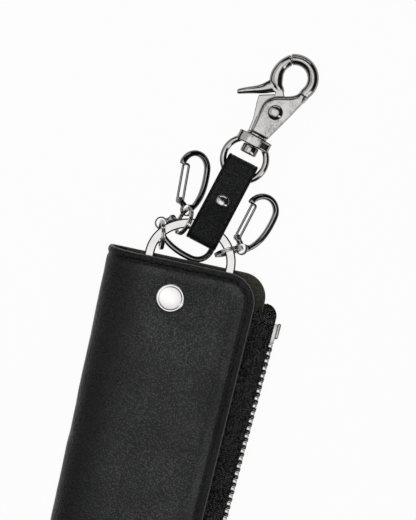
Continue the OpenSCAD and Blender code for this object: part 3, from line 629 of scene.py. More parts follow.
class Sock:
    """A node socket whose arithmetic adds Math or Vector Math nodes."""

    def __init__(self, tree, socket):
        self.tree, self.socket = tree, socket

    def maths(self, operation, *values):
        kind = "ShaderNodeMath"
        if any(isinstance(v, Sock) and v.socket.type in {"VECTOR", "RGBA"}
               for v in values):
            kind = "ShaderNodeVectorMath"
            values = [v if isinstance(v, Sock) else (v,) * 3 for v in values]
        return self.tree.node(kind, {"operation": operation}, dict(enumerate(values)))

    __add__, __radd__ = overload("ADD")
    __sub__, __rsub__ = overload("SUBTRACT")
    __mul__, __rmul__ = overload("MULTIPLY")
    __truediv__, __rtruediv__ = overload("DIVIDE")

    def fract(self):
        return self.maths("FRACT", self)

    def sine(self):
        return self.maths("SINE", self)

    def abs(self):
        return self.maths("ABSOLUTE", self)

    def between(self, low, high, to_low=0.0, to_high=1.0):
        return self.tree.node(
            "ShaderNodeMapRange", {"clamp": True, "interpolation_type": "SMOOTHSTEP"},
            {"Value": self, "From Min": low, "From Max": high,
             "To Min": to_low, "To Max": to_high})


class Tree:
    """The node tree of a new material or world, and its main shader."""

    def __init__(self, name, kind="materials", shader="Principled BSDF"):
        self.owner = getattr(bpy.data, kind).new(name)
        self.owner.use_nodes = True
        self.nodes, self.links = self.owner.node_tree.nodes, self.owner.node_tree.links
        self.shader = self.nodes[shader]

    def node(self, kind, settings=None, inputs=None, out=0):
        """Any node: its settings, or a ramp's stops, first, then its sockets."""
        made = self.nodes.new(kind)
        for key, value in (settings or {}).items():
            if key == "stops":
                ramp = made.color_ramp.elements
                while len(ramp) < len(value):
                    ramp.new(0.5)
                for element, (place, colour) in zip(ramp, value):
                    element.position, element.color = place, (*colour, 1)
            else:
                setattr(made, key, value)
        for key, value in (inputs or {}).items():
            self.feed(made.inputs[key], value)
        return Sock(self, made.outputs[out])

    def feed(self, socket, value):
        if isinstance(value, Sock):
            self.links.new(value.socket, socket)
        elif socket.type == "RGBA":
            socket.default_value = (*value, 1)
        else:
            socket.default_value = value

    def place(self, scale=1000.0):
        """Object coordinates in millimetres, or times a scale of their own."""
        return self.node("ShaderNodeTexCoord", out="Object") * scale

    def xyz(self, vector):
        split = self.node("ShaderNodeSeparateXYZ", {}, {"Vector": vector}).socket.node
        return [Sock(self, socket) for socket in split.outputs]

    def weave(self):
        """The distance from the rim and the run along it, in millimetres."""
        return self.xyz(self.node("ShaderNodeTexCoord", out="UV") * (1000 / UV_PER_M))

    def noise(self, at, scale, detail=3.0, rough=0.55, distortion=0.0):
        return self.node("ShaderNodeTexNoise", {},
                         {"Vector": at, "Scale": scale, "Detail": detail,
                          "Roughness": rough, "Distortion": distortion})

    def stretched(self, at, *scale):
        return self.node("ShaderNodeMapping", {"vector_type": "POINT"},
                         {"Vector": at, "Scale": scale})

    def mix(self, factor, a, b):
        return self.node("ShaderNodeMix", {"data_type": "RGBA"},
                         {0: factor, 6: a, 7: b}, 2)

    def relief(self, height, depth_mm):
        return self.node("ShaderNodeBump", {}, {"Height": height, "Strength": 1.0,
                                                "Distance": depth_mm * MM})

    def finish(self, **sockets):
        for key, value in sockets.items():
            self.feed(self.shader.inputs[key.replace("_", " ")], value)
        return self.owner

    def shown_as(self, plain, share, output):
        """Lets the rays that have a share see a plain shader instead."""
        mixed = self.node("ShaderNodeMixShader", {}, {
            0: share, 1: Sock(self, self.shader.outputs[0]), 2: plain})
        self.links.new(mixed.socket, self.nodes[output].inputs["Surface"])


def shade(colour, k):
    """A colour times k; also any other row of numbers."""
    return tuple(c * k for c in colour)


# Depth of the creases, as a share of the grain's
CREASE_DEPTH = 0.315


def leather(name, colour, rough, grain_mm, grain_depth, gloss=0.10, rim=0.0,
            wear=0.034, margin=None, spine=None):
    """Grained leather: pebbles, pores, creases, uneven polish, painted shade that darkens
    each panel towards its rim, and a painted highlight along the rim itself.

    Within the margin's distances from the rim it is painted darker, a painted shade of the
    sloping border, with a painted highlight just inside the stitches; between the spine's
    two X it is painted darker towards the spine, a painted shade of the spine's roll.
    """
    t = Tree(name)
    at = t.place()
    inset = t.weave()[0]
    warp = t.noise(at, 0.35, 2.0)
    soft = t.node("ShaderNodeTexVoronoi", {"feature": "SMOOTH_F1"},
                  {"Vector": at, "Scale": 1.0 / grain_mm, "Smoothness": 0.35,
                   "Randomness": 1.0})
    pebble = 1 - soft.between(0.05, 0.75)
    fine = t.noise(at, 2.6 / grain_mm, 3.0, 0.6)
    speck = t.noise(at, 1.3 / grain_mm, 3.0, 0.6)
    folds = t.noise(t.stretched(at, 0.16, 0.07, 0.12), 1.0, 3.0, 0.6, 1.6)
    crease = 1 - (folds - 0.5).abs().between(0.0, 0.035)
    broad = t.noise(at, 0.05, 3.0, 0.5)
    height = pebble * 0.7 + fine * 0.5 + (warp - 0.5) * 1.2 - crease * CREASE_DEPTH
    # Random broad tone, plus painted shade: each panel is darker towards its rim
    tone_and_rim_shade = broad.between(0.35, 0.7) * 0.6 + inset.between(4.0, 16.0) * 0.4
    base = t.mix(tone_and_rim_shade, shade(colour, 0.5), shade(colour, 1.6))
    top = (pebble * 0.85 + fine * 0.3 + speck * 0.35).between(0.4, 1.25) * 0.75
    if margin:
        # Painted highlight: a paler stripe just inside the stitches, where the swell
        # catches light
        top = top + inset.between(3.9, 4.9) * (1 - inset.between(5.2, 9.0)) * 0.4
    # Paler rubbed grain tops, mixed with the painted rim shade and the painted highlight
    # above
    wear_and_painted_light = t.mix((top + 0.17) * (tone_and_rim_shade * 0.5 + 0.35), base,
                 tuple(c * 4 + wear for c in colour))
    # Dark colour of the painted shade in the margin and towards the spine
    painted_shade_colour = shade(colour, 0.35)
    if margin:
        # Painted shade: darker in the sloping border between the rim and the stitches
        wear_and_painted_light = t.mix(inset.between(*margin, 0.35, 1.0), painted_shade_colour, wear_and_painted_light)
    # Painted shade: darker towards the spine, where the leather rolls away
    if spine:
        wear_and_painted_light = t.mix(t.xyz(at)[0].between(*spine, 0.1, 1.0), painted_shade_colour, wear_and_painted_light)
    # Painted highlight: paler within 0.6 mm of the rim, where the rounded edge catches
    # light
    if rim:
        wear_and_painted_light = t.mix(1 - inset.between(0.25, 0.6), wear_and_painted_light, (rim, rim, rim * 1.02))
    shine = broad.between(0.3, 0.7, rough - 0.06, rough + 0.08) + (fine - 0.5) * 0.16
    return t.finish(Base_Color=wear_and_painted_light, Roughness=shine, Specular_IOR_Level=gloss,
                    Normal=t.relief(height, grain_depth))


def cloth(name, colour, thread_mm):
    """Plain woven lining."""
    t = Tree(name)
    x, y, _ = t.xyz(t.place(1000 * math.pi / thread_mm))
    weave = x.sine() * y.sine()
    speck = t.noise(t.place(), 0.6, 3.0)
    base = t.mix(weave.between(-0.8, 0.8), shade(colour, 0.6), shade(colour, 1.25))
    base = t.mix(speck.between(0.3, 0.7, 0.0, 0.35), base, shade(colour, 0.7))
    return t.finish(Base_Color=base, Roughness=0.85, Normal=t.relief(weave, 0.06))


def herringbone(name, colour, rib_mm, band_mm):
    """Zip tape: ribs that turn back at each band's edge."""
    t = Tree(name)
    x, y, _ = t.weave()
    zig = ((x / (2 * band_mm)).fract() - 0.5).abs() * (2 * band_mm)
    rib = ((y + zig) * (2 * math.pi / rib_mm)).sine()
    gap = 1 - ((x / band_mm).fract() - 0.5).abs().between(0.40, 0.5)
    fuzz = t.noise(t.place(), 1.4, 4.0, 0.7)
    height = rib * gap + fuzz * 0.8
    speck = t.noise(t.place(), 2.1, 1.0, 0.5)
    shown = rib.between(-0.4, 0.9) * gap * speck.between(0.46, 0.57) + (fuzz - 0.5) * 0.4
    base = t.mix(shown.between(0.2, 0.9), shade(colour, 0.15), shade(colour, 26))
    return t.finish(Base_Color=base, Roughness=rib.between(-1, 1, 0.9, 0.55),
                    Specular_IOR_Level=0.2, Normal=t.relief(height, 0.2))


def thread(name, colour):
    """Twisted waxed thread."""
    t = Tree(name)
    x, y, _ = t.weave()
    ply = (x * 6.0 + y * 7.0).sine()
    base = t.mix(ply.between(-0.6, 0.8), shade(colour, 0.5), shade(colour, 1.6))
    return t.finish(Base_Color=base, Roughness=ply.between(-1, 1, 0.65, 0.45),
                    Normal=t.relief(ply, 0.08))


def metal(name, colour, rough, scratch=0.5, streak=(1, 1, 1), dull=0.10, cast_mm=0.0,
          painted_recess_shade=None, tarnish=0.0):
    """Plated metal: fine scratches, fingermarks, tarnish, a slightly wavy skin and, where
    asked, painted shade that darkens it round a middle height.
    """
    t = Tree(name)
    at = t.place()
    lines = t.noise(t.stretched(at, *shade(streak, 0.5)), 6.0, 3.0, 0.65, 0.6)
    marks = t.noise(at, 0.22, 3.0, 0.6)
    waves = t.noise(at, 0.9, 2.0, 0.5)
    pores = t.noise(at, 5.0, 2.0, 0.6)
    height = lines * (0.18 * scratch) + waves * 0.4 + pores * cast_mm
    base = t.mix(marks.between(0.35, 0.75), shade(colour, 0.86), colour)
    dark = shade(colour, 0.25)
    if tarnish:
        cloud = t.noise(at, 0.13, 4.0, 0.65).between(0.42, 0.62)
        fleck = t.noise(at, 1.5, 3.0, 0.7).between(0.35, 0.65)
        base = t.mix(cloud * fleck * tarnish, base, dark)
    # Painted shade: darker within a band of heights round the middle
    if painted_recess_shade:
        middle, near, far = painted_recess_shade
        base = t.mix((t.xyz(at)[2] - middle).abs().between(near, far), dark, base)
    shine = marks.between(0.3, 0.8, rough, rough + dull) + (lines - 0.5) * (0.12 * scratch)
    return t.finish(Base_Color=base, Metallic=1.0, Roughness=shine,
                    Normal=t.relief(height, 0.02))


# Share of the floor that shows plain, and the strength of the studio's light
FLOOR_PLAIN, SOFT_BOX = 0.95, 2.3


def pale_floor(name, colour):
    """Floor that shows plain to the camera, and in the metal, and keeps the shadow."""
    t = Tree(name)
    base = t.mix(t.noise(t.place(), 0.02, 2.0), shade(colour, 0.995), colour)
    plain = t.finish(Base_Color=base, Roughness=0.8, Specular_IOR_Level=0.1)
    camera, glossy, through = [
        t.node("ShaderNodeLightPath", out=f"Is {key} Ray")
        for key in ("Camera", "Glossy", "Transmission")]
    paper = t.node("ShaderNodeEmission", {}, {"Color": (1, 1, 1), "Strength": 1.0})
    t.shown_as(paper, (camera + glossy + through) * FLOOR_PLAIN, "Material Output")
    return plain


# Settings
def colour_prop(name, text, default):
    return FloatVectorProperty(name=name, description=text, default=default,
                               subtype="COLOR", size=3, min=0, max=1)


def length_prop(name, text, default, low, high):
    return FloatProperty(name=name, description=text, default=default, min=low,
                         max=high, unit="LENGTH")


class KEYCASE_PG_leather(bpy.types.PropertyGroup):
    """Sizes and colours of the leather and the cloth"""
    case_colour: colour_prop("Case leather", "Colour of the outer leather",
                             (0.008, 0.0084, 0.0087))
    leaf_colour: colour_prop("Leaf leather", "Colour of the inner leaf",
                             (0.026, 0.025, 0.019))
    strap_colour: colour_prop("Strap leather", "Colour of the strap",
                              (0.0045, 0.0047, 0.0049))
    lining_colour: colour_prop("Lining", "Colour of the linings", (0.045, 0.045, 0.04))
    tape_colour: colour_prop("Zip tape", "Colour of the zip's tape",
                             (0.009, 0.009, 0.0092))
    thread_colour: colour_prop("Thread", "Colour of the stitches",
                               (0.009, 0.009, 0.0095))
    grain: length_prop("Grain", "Size of the leather's pebbles", 0.0008, 0.0004, 0.004)
    puff: length_prop("Puff", "How far the flap's middle swells", 0.0009, 0, 0.002)
    stitch: length_prop("Stitch", "Length of one stitch", 0.0031, 0.002, 0.004)


class KEYCASE_PG_metal(bpy.types.PropertyGroup):
    """Colours and polish of the hardware"""
    plate_colour: colour_prop("Silver plate", "Colour of the bright plating",
                              (0.40, 0.392, 0.386))
    zip_colour: colour_prop("Zip metal", "Colour of the teeth", (0.40, 0.39, 0.38))
    clip_colour: colour_prop("Gunmetal", "Colour of the wire gate clips",
                             (0.19, 0.187, 0.185))
    pressed_colour: colour_prop("Pressed plate", "Colour of the press stud's cap",
                                (0.62, 0.605, 0.6))
    hook_colour: colour_prop("Hook plate", "Colour of the trigger snap",
                             (0.31, 0.304, 0.298))
    steel_colour: colour_prop("Spring steel", "Colour of the lever's spring",
                              (0.5, 0.5, 0.5))
    polish: FloatProperty(name="Polish", description="Roughness of the bright plating",
                          default=0.09, min=0.02, max=0.6, subtype="FACTOR")


class KEYCASE_PG_stage(bpy.types.PropertyGroup):
    """Floor, lamps and camera"""
    floor_colour: colour_prop("Floor", "Colour of the floor", (0.98, 0.98, 0.98))
    view_distance: length_prop("Distance", "Distance of the camera from the case",
                               1.2, 0.3, 4)
    view_height: length_prop("Picture height", "Height of the picture at the case",
                             0.2205, 0.1, 0.5)
    view_turn: FloatProperty(name="Turn", description="Turn of the camera about Z",
                             default=math.radians(12.2), subtype="ANGLE")
    lamp_power: FloatProperty(name="Lamps", description="Power of the main lamp",
                              default=0.5, min=0, max=60, unit="POWER")
    lamp_count: IntProperty(name="Lamp strips", description="Number of lamp strips",
                            default=3, min=1, max=3)


def leathers():
    return bpy.context.scene.keycase_leather


def finish_of(key):
    """Each finish is made once and shared by the pieces that have it."""
    name = f"{key}_finish"
    known = bpy.data.materials.get(name)
    if known:
        return known
    s, m = leathers(), bpy.context.scene.keycase_metal
    maker, colour, settings = {
        # margin and spine paint shade into the leather's colour, and rim paints a highlight
        "case_leather": (leather, s.case_colour, dict(
            rough=0.33, grain_mm=s.grain / MM, grain_depth=0.3, rim=0.11, wear=0.115,
            gloss=0.22, margin=(3.4, 4.8), spine=(-29, -10))),
        "leaf_leather": (leather, s.leaf_colour, dict(
            rough=0.42, grain_mm=s.grain / MM, grain_depth=0.1, rim=0.10)),
        "strap_leather": (leather, s.strap_colour, dict(
            rough=0.30, grain_mm=0.8, grain_depth=0.2, wear=0.03, margin=(3.4, 6.0))),
        "lining_cloth": (cloth, s.lining_colour, dict(thread_mm=0.55)),
        "zip_tape": (herringbone, s.tape_colour, dict(rib_mm=0.9, band_mm=1.3)),
        "thread": (thread, s.thread_colour, {}),
        "silver_plate": (metal, m.plate_colour, dict(rough=m.polish)),
        "zip_metal": (metal, m.zip_colour, dict(rough=0.2, scratch=0.8, dull=0.15)),
        # The teeth get painted shade, darker near the chain's middle height where the rows
        # meet
        "zip_teeth": (metal, m.zip_colour, dict(rough=0.16, scratch=0.6,
                                                painted_recess_shade=(CHAIN_Z, 1.5, 2.2))),
        "gunmetal": (metal, m.clip_colour, dict(rough=0.09, scratch=0.4, dull=0.05)),
        "hook_plate": (metal, m.hook_colour, dict(rough=0.07, dull=0.08, cast_mm=0.2)),
        "hook_cast": (metal, m.hook_colour, dict(rough=0.08, scratch=0.6, dull=0.12,
                                                 cast_mm=0.3, tarnish=0.7)),
        "pressed_plate": (metal, m.pressed_colour, dict(rough=0.26, scratch=0.6)),
        "spring_steel": (metal, m.steel_colour, dict(rough=0.3, scratch=1.0,
                                                     streak=(3, 0.3, 1))),
    }[key]
    return maker(name, tuple(colour), **settings)


class Build:
    """What every operator of a piece shares"""
    bl_options = {"REGISTER", "UNDO"}

    def execute(self, context):
        self.build()
        return {"FINISHED"}


# Case
SPINE_HALF = math.pi * SPINE_R / 2
SKIN_LEN = 143.0


def wrap(s, y, out):
    """Place of an unrolled point: s along the skin from the spine's middle."""
    turn = np.clip(s, -SPINE_HALF, SPINE_HALF) / SPINE_R
    r = SPINE_R + out
    beyond = np.abs(s) - SPINE_HALF
    flat = beyond > 0
    x = np.where(flat, SPINE_MID_X + beyond, SPINE_MID_X - r * np.cos(turn))
    z = SPINE_R + r * np.where(flat, np.sign(s), np.sin(turn))
    return np.stack([x, y, z], -1)


def unrolled(x, sign):
    """Signed place along the skin of an X on the flap (1) or the back (-1)."""
    return sign * (SPINE_HALF + x - SPINE_MID_X)


class KEYCASE_OT_case_leather(Build, bpy.types.Operator):
    """Outer leather: one skin from the back, round the spine, to the flap"""
    bl_idname = "keycase.case_leather"
    bl_label = "Case leather"

    def build(self):
        taper = [(-SPINE_HALF, END_Y), (-2, END_Y), (4, END_Y - 0.8),
                 (SPINE_HALF, FLAP_END)]

        def laid(points, sign):
            """Points of the flap (1) or the back (-1) on the unrolled skin."""
            return [(unrolled(x, sign), y) for x, y in points]

        def end(up):
            """The upper (1) or the lower (-1) end of the unrolled skin."""
            turn = (90 * up, SPLIT * up)
            return (laid(half_corner(up, *LEAF_EDGE, *turn), -1)[::-1]
                    + [(s, up * y) for s, y in taper]
                    + laid(half_corner(up, *FLAP_EDGE, *turn), 1))

        low, top = end(-1), end(1)
        back, front = laid(free_side(*LEAF_EDGE), -1), laid(free_side(*FLAP_EDGE), 1)
        sy = patch(low, top, back, front, spread(SKIN_LEN, 1.5),
                   spread(2 * END_Y - 2, 1.7))
        s, y = sy[..., 0], sy[..., 1]
        d = edge_distance(sy, low + front[1:-1] + top[::-1] + back[::-1][1:-1])
        half = LEATHER_T / 2
        share = round_edge(d, half)
        flap = step(s, SPINE_HALF - 3, SPINE_HALF + 6)
        back_side = step(-s, SPINE_HALF - 5, SPINE_HALF)
        snap_d = np.hypot(s - unrolled(SNAP_AT[0], 1), y - SNAP_AT[1])
        puff = leathers().puff / MM
        soft = Waves(5, 26)(s, y) * 0.24 + Waves(11, 9)(s * 0.8 + y * 0.35, y) * 0.06
        swell = (puff * (step(d, STITCH_IN, 9) + 0.5 * step(d, 6, 24)
                         + 0.9 * step(s, SPINE_HALF, SPINE_HALF + 20) * step(d, 3, 12))
                 * flap * step(snap_d, 5.5, 12)
                 + 0.30 * bump(d, 1.9, 1.0) * (1 - back_side)
                 - 0.34 * bump(d, STITCH_IN, 0.9)
                 - 0.14 * bump(snap_d, 7.4, 1.6) * flap
                 + soft * step(d, 1.0, 8) * step(snap_d, 6, 12))
        # The back lies flat, so nothing swells there
        swell = swell - back_side * np.maximum(swell, 0)
        skin = Skin().faced(wrap(s, y, (half + swell) * share - half),
                            wrap(s, y, -half - half * share), np.dstack([d, y]))
        obj = piece("case_leather_skin", skin, "case_leather", None)
        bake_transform(obj)
        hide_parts("back_panel", "front_flap")


class KEYCASE_OT_pocket_leaf(Build, bpy.types.Operator):
    """Inner leaf that the keys lie on"""
    bl_idname = "keycase.pocket_leaf"
    bl_label = "Inner leaf"

    def build(self):
        wave = Waves(3, 22)

        def over(x, y, d):
            plate = np.maximum(np.abs(x) - 23, np.abs(y - PLATE_MID) - 6.5)
            stud = np.hypot(x - SNAP_AT[0], y - SNAP_AT[1]) - 5
            free = step(np.minimum(plate, stud), 0, 5)
            return (-0.22 * bump(d, 2.2, 0.45)
                    + wave(x, y) * 0.06 * step(d, 2, 9) * free)

        piece("pocket_leaf_skin", flat_sheet(LEAF_LOW, LEAF_T, *LEAF_EDGE, over=over),
              "leaf_leather", "case", "pocket_leaf")


def inset(edge, distance):
    """Right side, end and corner radius at a distance inside an edge."""
    return [size - distance for size in edge]


class KEYCASE_OT_linings(Build, bpy.types.Operator):
    """Cloth linings of the back, the leaf and the flap"""
    bl_idname = "keycase.linings"
    bl_label = "Linings"

    def build(self):
        wave = Waves(8, 18)

        def slack(x, y, d):
            return wave(x, y) * 0.05 * step(d, 1, 8)

        for name, glued_to, low, leather_edge, body, over, under in (
                ("back_lining", "back_panel", LEATHER_T, LEAF_EDGE, "case", slack, None),
                ("leaf_lining", "pocket_leaf", POCKET_HIGH, LEAF_EDGE, "case", None, slack),
                ("flap_lining", "front_flap", KEY_HIGH, FLAP_EDGE, "flap", None, slack)):
            edge = inset(leather_edge, LINING_IN)
            skin = flat_sheet(low, LINING_T, *edge, 2.4, over, under)
            lining = piece(f"{name}_cloth", skin, "lining_cloth", body, name)
            x, y = np.array(sheet_outline(*edge)).T


class KEYCASE_OT_gusset(Build, bpy.types.Operator):
    """Pleated cloth walls of the zipped pocket"""
    bl_idname = "keycase.gusset"
    bl_label = "Pocket gusset"

    def build(self):
        left, turn = SPINE_MID_X + 0.4, 3.0
        right, top, r = LEAF_X - LINING_IN, END_Y - LINING_IN - 0.4, LEAF_R - LINING_IN
        line = even(arc(corner(-1, right, top, r), r, -62, -90, 8)
                    + arc((left + turn, turn - top), turn, -90, -180, 8)
                    + arc((left + turn, top - turn), turn, 180, 90, 8)
                    + arc(corner(1, right, top, r), r, 90, 62, 8), 260)
        outward, _ = frames_along(np.c_[line, np.zeros(len(line))], (0, 0, 1))
        heights = np.linspace(POCKET_LOW - 0.05, POCKET_HIGH + 0.05, 13)
        k = (heights - POCKET_LOW) / (POCKET_HIGH - POCKET_LOW)
        pleat = 0.9 * np.sin(np.pi * np.clip(k, 0, 1)) ** 0.8
        uneven = Waves(21, 14)(*line.T)[:, None] * 0.12 * np.sin(np.pi * k)
        faces = []
        for t in (-0.3, 0.3):
            off = pleat + uneven + t
            xy = line[:, None, :] + outward[:, None, :2] * off[..., None]
            faces.append(np.dstack([xy, np.broadcast_to(heights, off.shape)]))
        piece("pocket_gusset_cloth", Skin().strip(*faces), "lining_cloth", "case",
              "pocket_gusset")


def stitches(skin, path, normal, pitch, length, width, height, sink=0.0, slant=0.12):
    """Short threads laid along a path, each dipping into the leather at its ends."""
    normal = np.broadcast_to(np.asarray(normal, float), path.shape)
    run = run_of(path)
    count = int(run[-1] // pitch)
    first = (run[-1] - (count - 1) * pitch) / 2
    t = np.linspace(-1, 1, 9)
    lift = height * (1 - t ** 4) - sink - 0.12 * t ** 6
    size = 0.35 + 0.65 * np.sqrt(np.maximum(0, 1 - t ** 6))
    for k in range(count):
        places = first + k * pitch + t * length / 2
        line = picked(path, run, places)
        side, ups = frames_along(line, picked(normal, run, places))
        line = line + ups * lift[:, None] + side * (slant * t)[:, None]
        skin.sweep(line, circle_section(width / 2, 8, 0.75), ups, scale=size, weave=True)
    return skin


def border(edge, z):
    """Line of the stitches along the free edges, from the spine round both corners."""
    outline = sheet_outline(*inset(edge, STITCH_IN), SPINE_MID_X + 1, 24)
    return even([(x, y, z) for x, y in outline[::-1]], 700)


class KEYCASE_OT_case_stitching(Build, bpy.types.Operator):
    """Stitches along the flap and the back"""
    bl_idname = "keycase.case_stitching"
    bl_label = "Case stitching"

    def build(self):
        for name, line, up, width, height, body, nodes in (
                ("flap", border(FLAP_EDGE, FLAP_TOP - 0.2), 1, 0.7, 0.28, "flap",
                 ["flap_stitching"]),
                ("back", border(LEAF_EDGE, 0.4), -1, 0.6, 0.12, "case", [])):
            skin = stitches(Skin(), line, (0, 0, up), 4.3, leathers().stitch / MM, width,
                            height)
            piece(f"{name}_stitching_thread", skin, "thread", body, *nodes)


# Zip
def rounded_end(x, y):
    """Draws the tape's free edge in where its upper corner is rounded."""
    high = np.clip((y - (TAPE_TOP - TAPE_R)) / TAPE_R, 0, 1)
    inward = TAPE_R * (1 - np.sqrt(1 - high ** 2))
    return x - inward * np.clip((x - TAPE_FREE) / (-TOOTH_D / 2 - TAPE_FREE), 0, 1)


class KEYCASE_OT_zip_tapes(Build, bpy.types.Operator):
    """Woven tapes, sewn to the pocket and bent up to the teeth"""
    bl_idname = "keycase.zip_tapes"
    bl_label = "Zip tapes"

    def build(self):
        low = (POCKET_HIGH - POCKET_LOW) / 2 - TAPE_T
        line = even([(-12.0, low), (TAPE_FREE, low), (-4.55, low), (-4.0, low + 0.12),
                     (-3.3, low + 0.40), (-2.9, low + 0.5), (-TOOTH_D / 2, low + 0.5)], 46)
        ys = np.concatenate([np.linspace(TAPE_FOOT, TAPE_TOP - TAPE_R, 90)[:-1],
                             TAPE_TOP - TAPE_R * np.cos(np.linspace(0, np.pi / 2, 20))])
        y = ys[:, None]
        x = rounded_end(line[None, :, 0], y)
        z = line[:, 1] + Waves(31, 16)(y, 0) * 0.05 * step(line[:, 0], TAPE_FREE, -4)
        flat = np.stack(np.broadcast_arrays(x, y), -1)
        for side, name in ((1, "front"), (-1, "rear")):
            skin = Skin().strip(*(np.dstack([flat, side * (z + t)]) for t in (TAPE_T, 0)),
                                flat)
            # corded edge that carries the teeth
            cord = np.stack([rounded_end(np.full_like(ys, -1.0), ys), ys,
                             np.full_like(ys, side * (low + 0.8))], 1)
            skin.sweep(cord, circle_section(0.42, 10), weave=True).placed(zip_frame())
            if side > 0:
                self.margin(skin)
            piece(f"zip_tape_{name}_weave", skin, "zip_tape", "case", f"zip_tape_{name}",
                  merge=0.0005)

    def margin(self, skin):
        """The front tape's sewn margin, over the leaf's edge and under the flap"""
        line = even(curve([(x, LEAF_TOP + z) for x, z in (
            (-7.0, 0.38), (-3.0, 0.38), (-0.9, 0.37), (0.05, 0.1), (0.7, -0.55),
            (1.5, -1.0), (2.6, -1.16), (3.4, -1.18))]), 60)
        ys = np.linspace(TAPE_FOOT + 4.5, MARGIN_TOP, 160)
        low = np.maximum(LEAF_R - END_Y - ys, 0)
        edge = (edge_x(LEAF_X, ys, END_Y, LEAF_R)
                - (LEAF_R - np.sqrt(LEAF_R ** 2 - low ** 2)))
        x = edge[:, None] + line[:, 0]
        y = np.broadcast_to(ys[:, None], x.shape)
        z = line[:, 1] + Waves(33, 15)(x, y) * 0.035
        slope = np.gradient(line, axis=0)
        slope /= np.linalg.norm(slope, axis=1)[:, None]
        skin.strip(*(np.dstack([x + slope[:, 1] * t, y, z - slope[:, 0] * t])
                     for t in (0, 0.3)), np.dstack([x, y]))


def tooth():
    """One tooth: legs clamped on the tape, a waist and a cupped head."""
    shape = ((2.80, 0.42, 0.36), (2.77, 0.68, 0.60), (2.68, 0.88, 0.78),
             (2.50, 1.00, 0.88), (2.2, 1.05, 0.92), (1.5, 1.05, 0.86), (0.4, 0.98, 0.66),
             (-0.2, 0.92, 0.52), (-0.6, 0.98, 0.70), (-0.85, 0.90, 0.66),
             (-1.05, 0.70, 0.50), (-1.17, 0.42, 0.30), (-1.2, 0.2, 0.14))
    rings = [[(x, y, z) for x, y in soft_box(2 * a, 2 * b, min(0.26, b * 0.6), 3)]
             for z, a, b in shape]
    return Skin().grid(np.array(rings), wrap_v=True, caps=True)


class KEYCASE_OT_zip_teeth(Build, bpy.types.Operator):
    """Both rows of teeth"""
    bl_idname = "keycase.zip_teeth"
    bl_label = "Zip teeth"

    def build(self):
        first = STOP_TOP - STOP_LEN - TOOTH_W / 2 - 0.3
        low = SLIDER_Y - SLIDER_LEN / 2 + BRIDGE_LEN + 0.8 + TOOTH_W / 2
        count = int((first - low) // (TOOTH_PITCH / 2)) + 1
        rng = np.random.default_rng(17)
        one = tooth()
        for side, name in ((1, "front"), (-1, "rear")):
            skin = Skin()
            faces = one.faces if side > 0 else [f[::-1] for f in one.faces]
            for k in range(0 if side > 0 else 1, count, 2):
                turn = np.array(Matrix.Rotation(rng.normal(0, 0.012), 3, "Z"))
                place = (rng.normal(0, 0.012) - side * TEETH_SHIFT,
                         first - k * TOOTH_PITCH / 2, 0)
                skin.add(one.points[0] * (1, 1, side) @ turn.T + place, faces)
            piece(f"zip_teeth_{name}_row", skin, "zip_teeth", "case", f"zip_teeth_{name}",
                  slot="zip_metal", frame=zip_frame(), merge=0, keep_angle=0.7)


class KEYCASE_OT_zip_stops(Build, bpy.types.Operator):
    """Folded end stop and the two small top stops"""
    bl_idname = "keycase.zip_stops"
    bl_label = "Zip stops"

    def build(self):
        deep = TOOTH_D / 2
        half = (POCKET_HIGH - POCKET_LOW) / 2 - TAPE_T + 0.5
        low, high = STOP_TOP - STOP_LEN, SLIDER_Y - SLIDER_LEN / 2 - 0.3
        end_stop = [block((-deep, low, -half), (deep, STOP_TOP - 0.6, half), 0.3, 3),
                    block((0.7, low + 2.2, -1.6), (2.3, STOP_TOP, 1.6), 0.78, 6)]
        top_stops = [block((-deep, TAPE_FOOT, z), (deep, high, z + 1.5), 0.35, 3)
                     for z in (-CHAIN_HALF, CHAIN_HALF - 1.5)]
        for name, node, parts in (("zip_end_stop_clip", "zip_end_stop", end_stop),
                                  ("zip_top_stops_clips", "zip_top_stops", top_stops)):
            piece(name, joined(*parts), "zip_metal", "case", node, frame=zip_frame(),
                  keep_angle=0.8)


class KEYCASE_OT_zip_slider(Build, bpy.types.Operator):
    """Slider with two flared plates, flanges, a bridge and a lug"""
    bl_idname = "keycase.zip_slider"
    bl_label = "Zip slider"

    def build(self):
        low, high = -SLIDER_LEN / 2, SLIDER_LEN / 2
        inner, wide = CHAIN_HALF - TAPE_T - SLIDER_GAP, SLIDER_W / 2

        def plate(half, x):
            flare = [(low + 0.2, half * 0.62), (low + 1.6, half * 0.84), (low + 4.4, half),
                     (high - 1.1, half), (high - 0.3, half * 0.86), (high, half * 0.5)]
            outline = ([(y, -z) for y, z in flare] + flare[::-1]
                       + [(low, half * 0.4), (low, -half * 0.4)])
            return slab(outline, x, x + SLIDER_PLATE, 0.3, 3, stand=True)

        parts = [plate(wide, PLATE_X), plate(inner, -PLATE_X - SLIDER_PLATE),
                 block((-PLATE_X - 0.1, low, -0.8),
                       (PLATE_X + 0.1, low + BRIDGE_LEN, 0.8), 0.25)]
        for side in (1, -1):
            z0, z1 = sorted((side * (CHAIN_HALF + 0.3), side * (wide - 0.05)))
            parts.append(block((-0.4, low + 2.4, z0), (PLATE_X + 0.3, high - 0.6, z1), 0.2))
        foot = PLATE_X + SLIDER_PLATE - 0.2
        lug = arc((LUG_X, 0), 1.4, -100, 100, 20) + [(foot, 1.9), (foot, -1.9)]
        hole = arc((LUG_X, 0), 0.7, 0, 345, 23)
        parts.append(slab(lug, -0.8, 0.8, 0.12, holes=(hole,)))
        piece("zip_slider_body", joined(*parts), "zip_metal", "slider", "zip_slider",
              frame=zip_frame() @ moved(0, SLIDER_Y), keep_angle=0.6)


def mirrored(half):
    """A profile with its reflection below Z 0."""
    return [(r, -z) for r, z in half[::-1]] + half


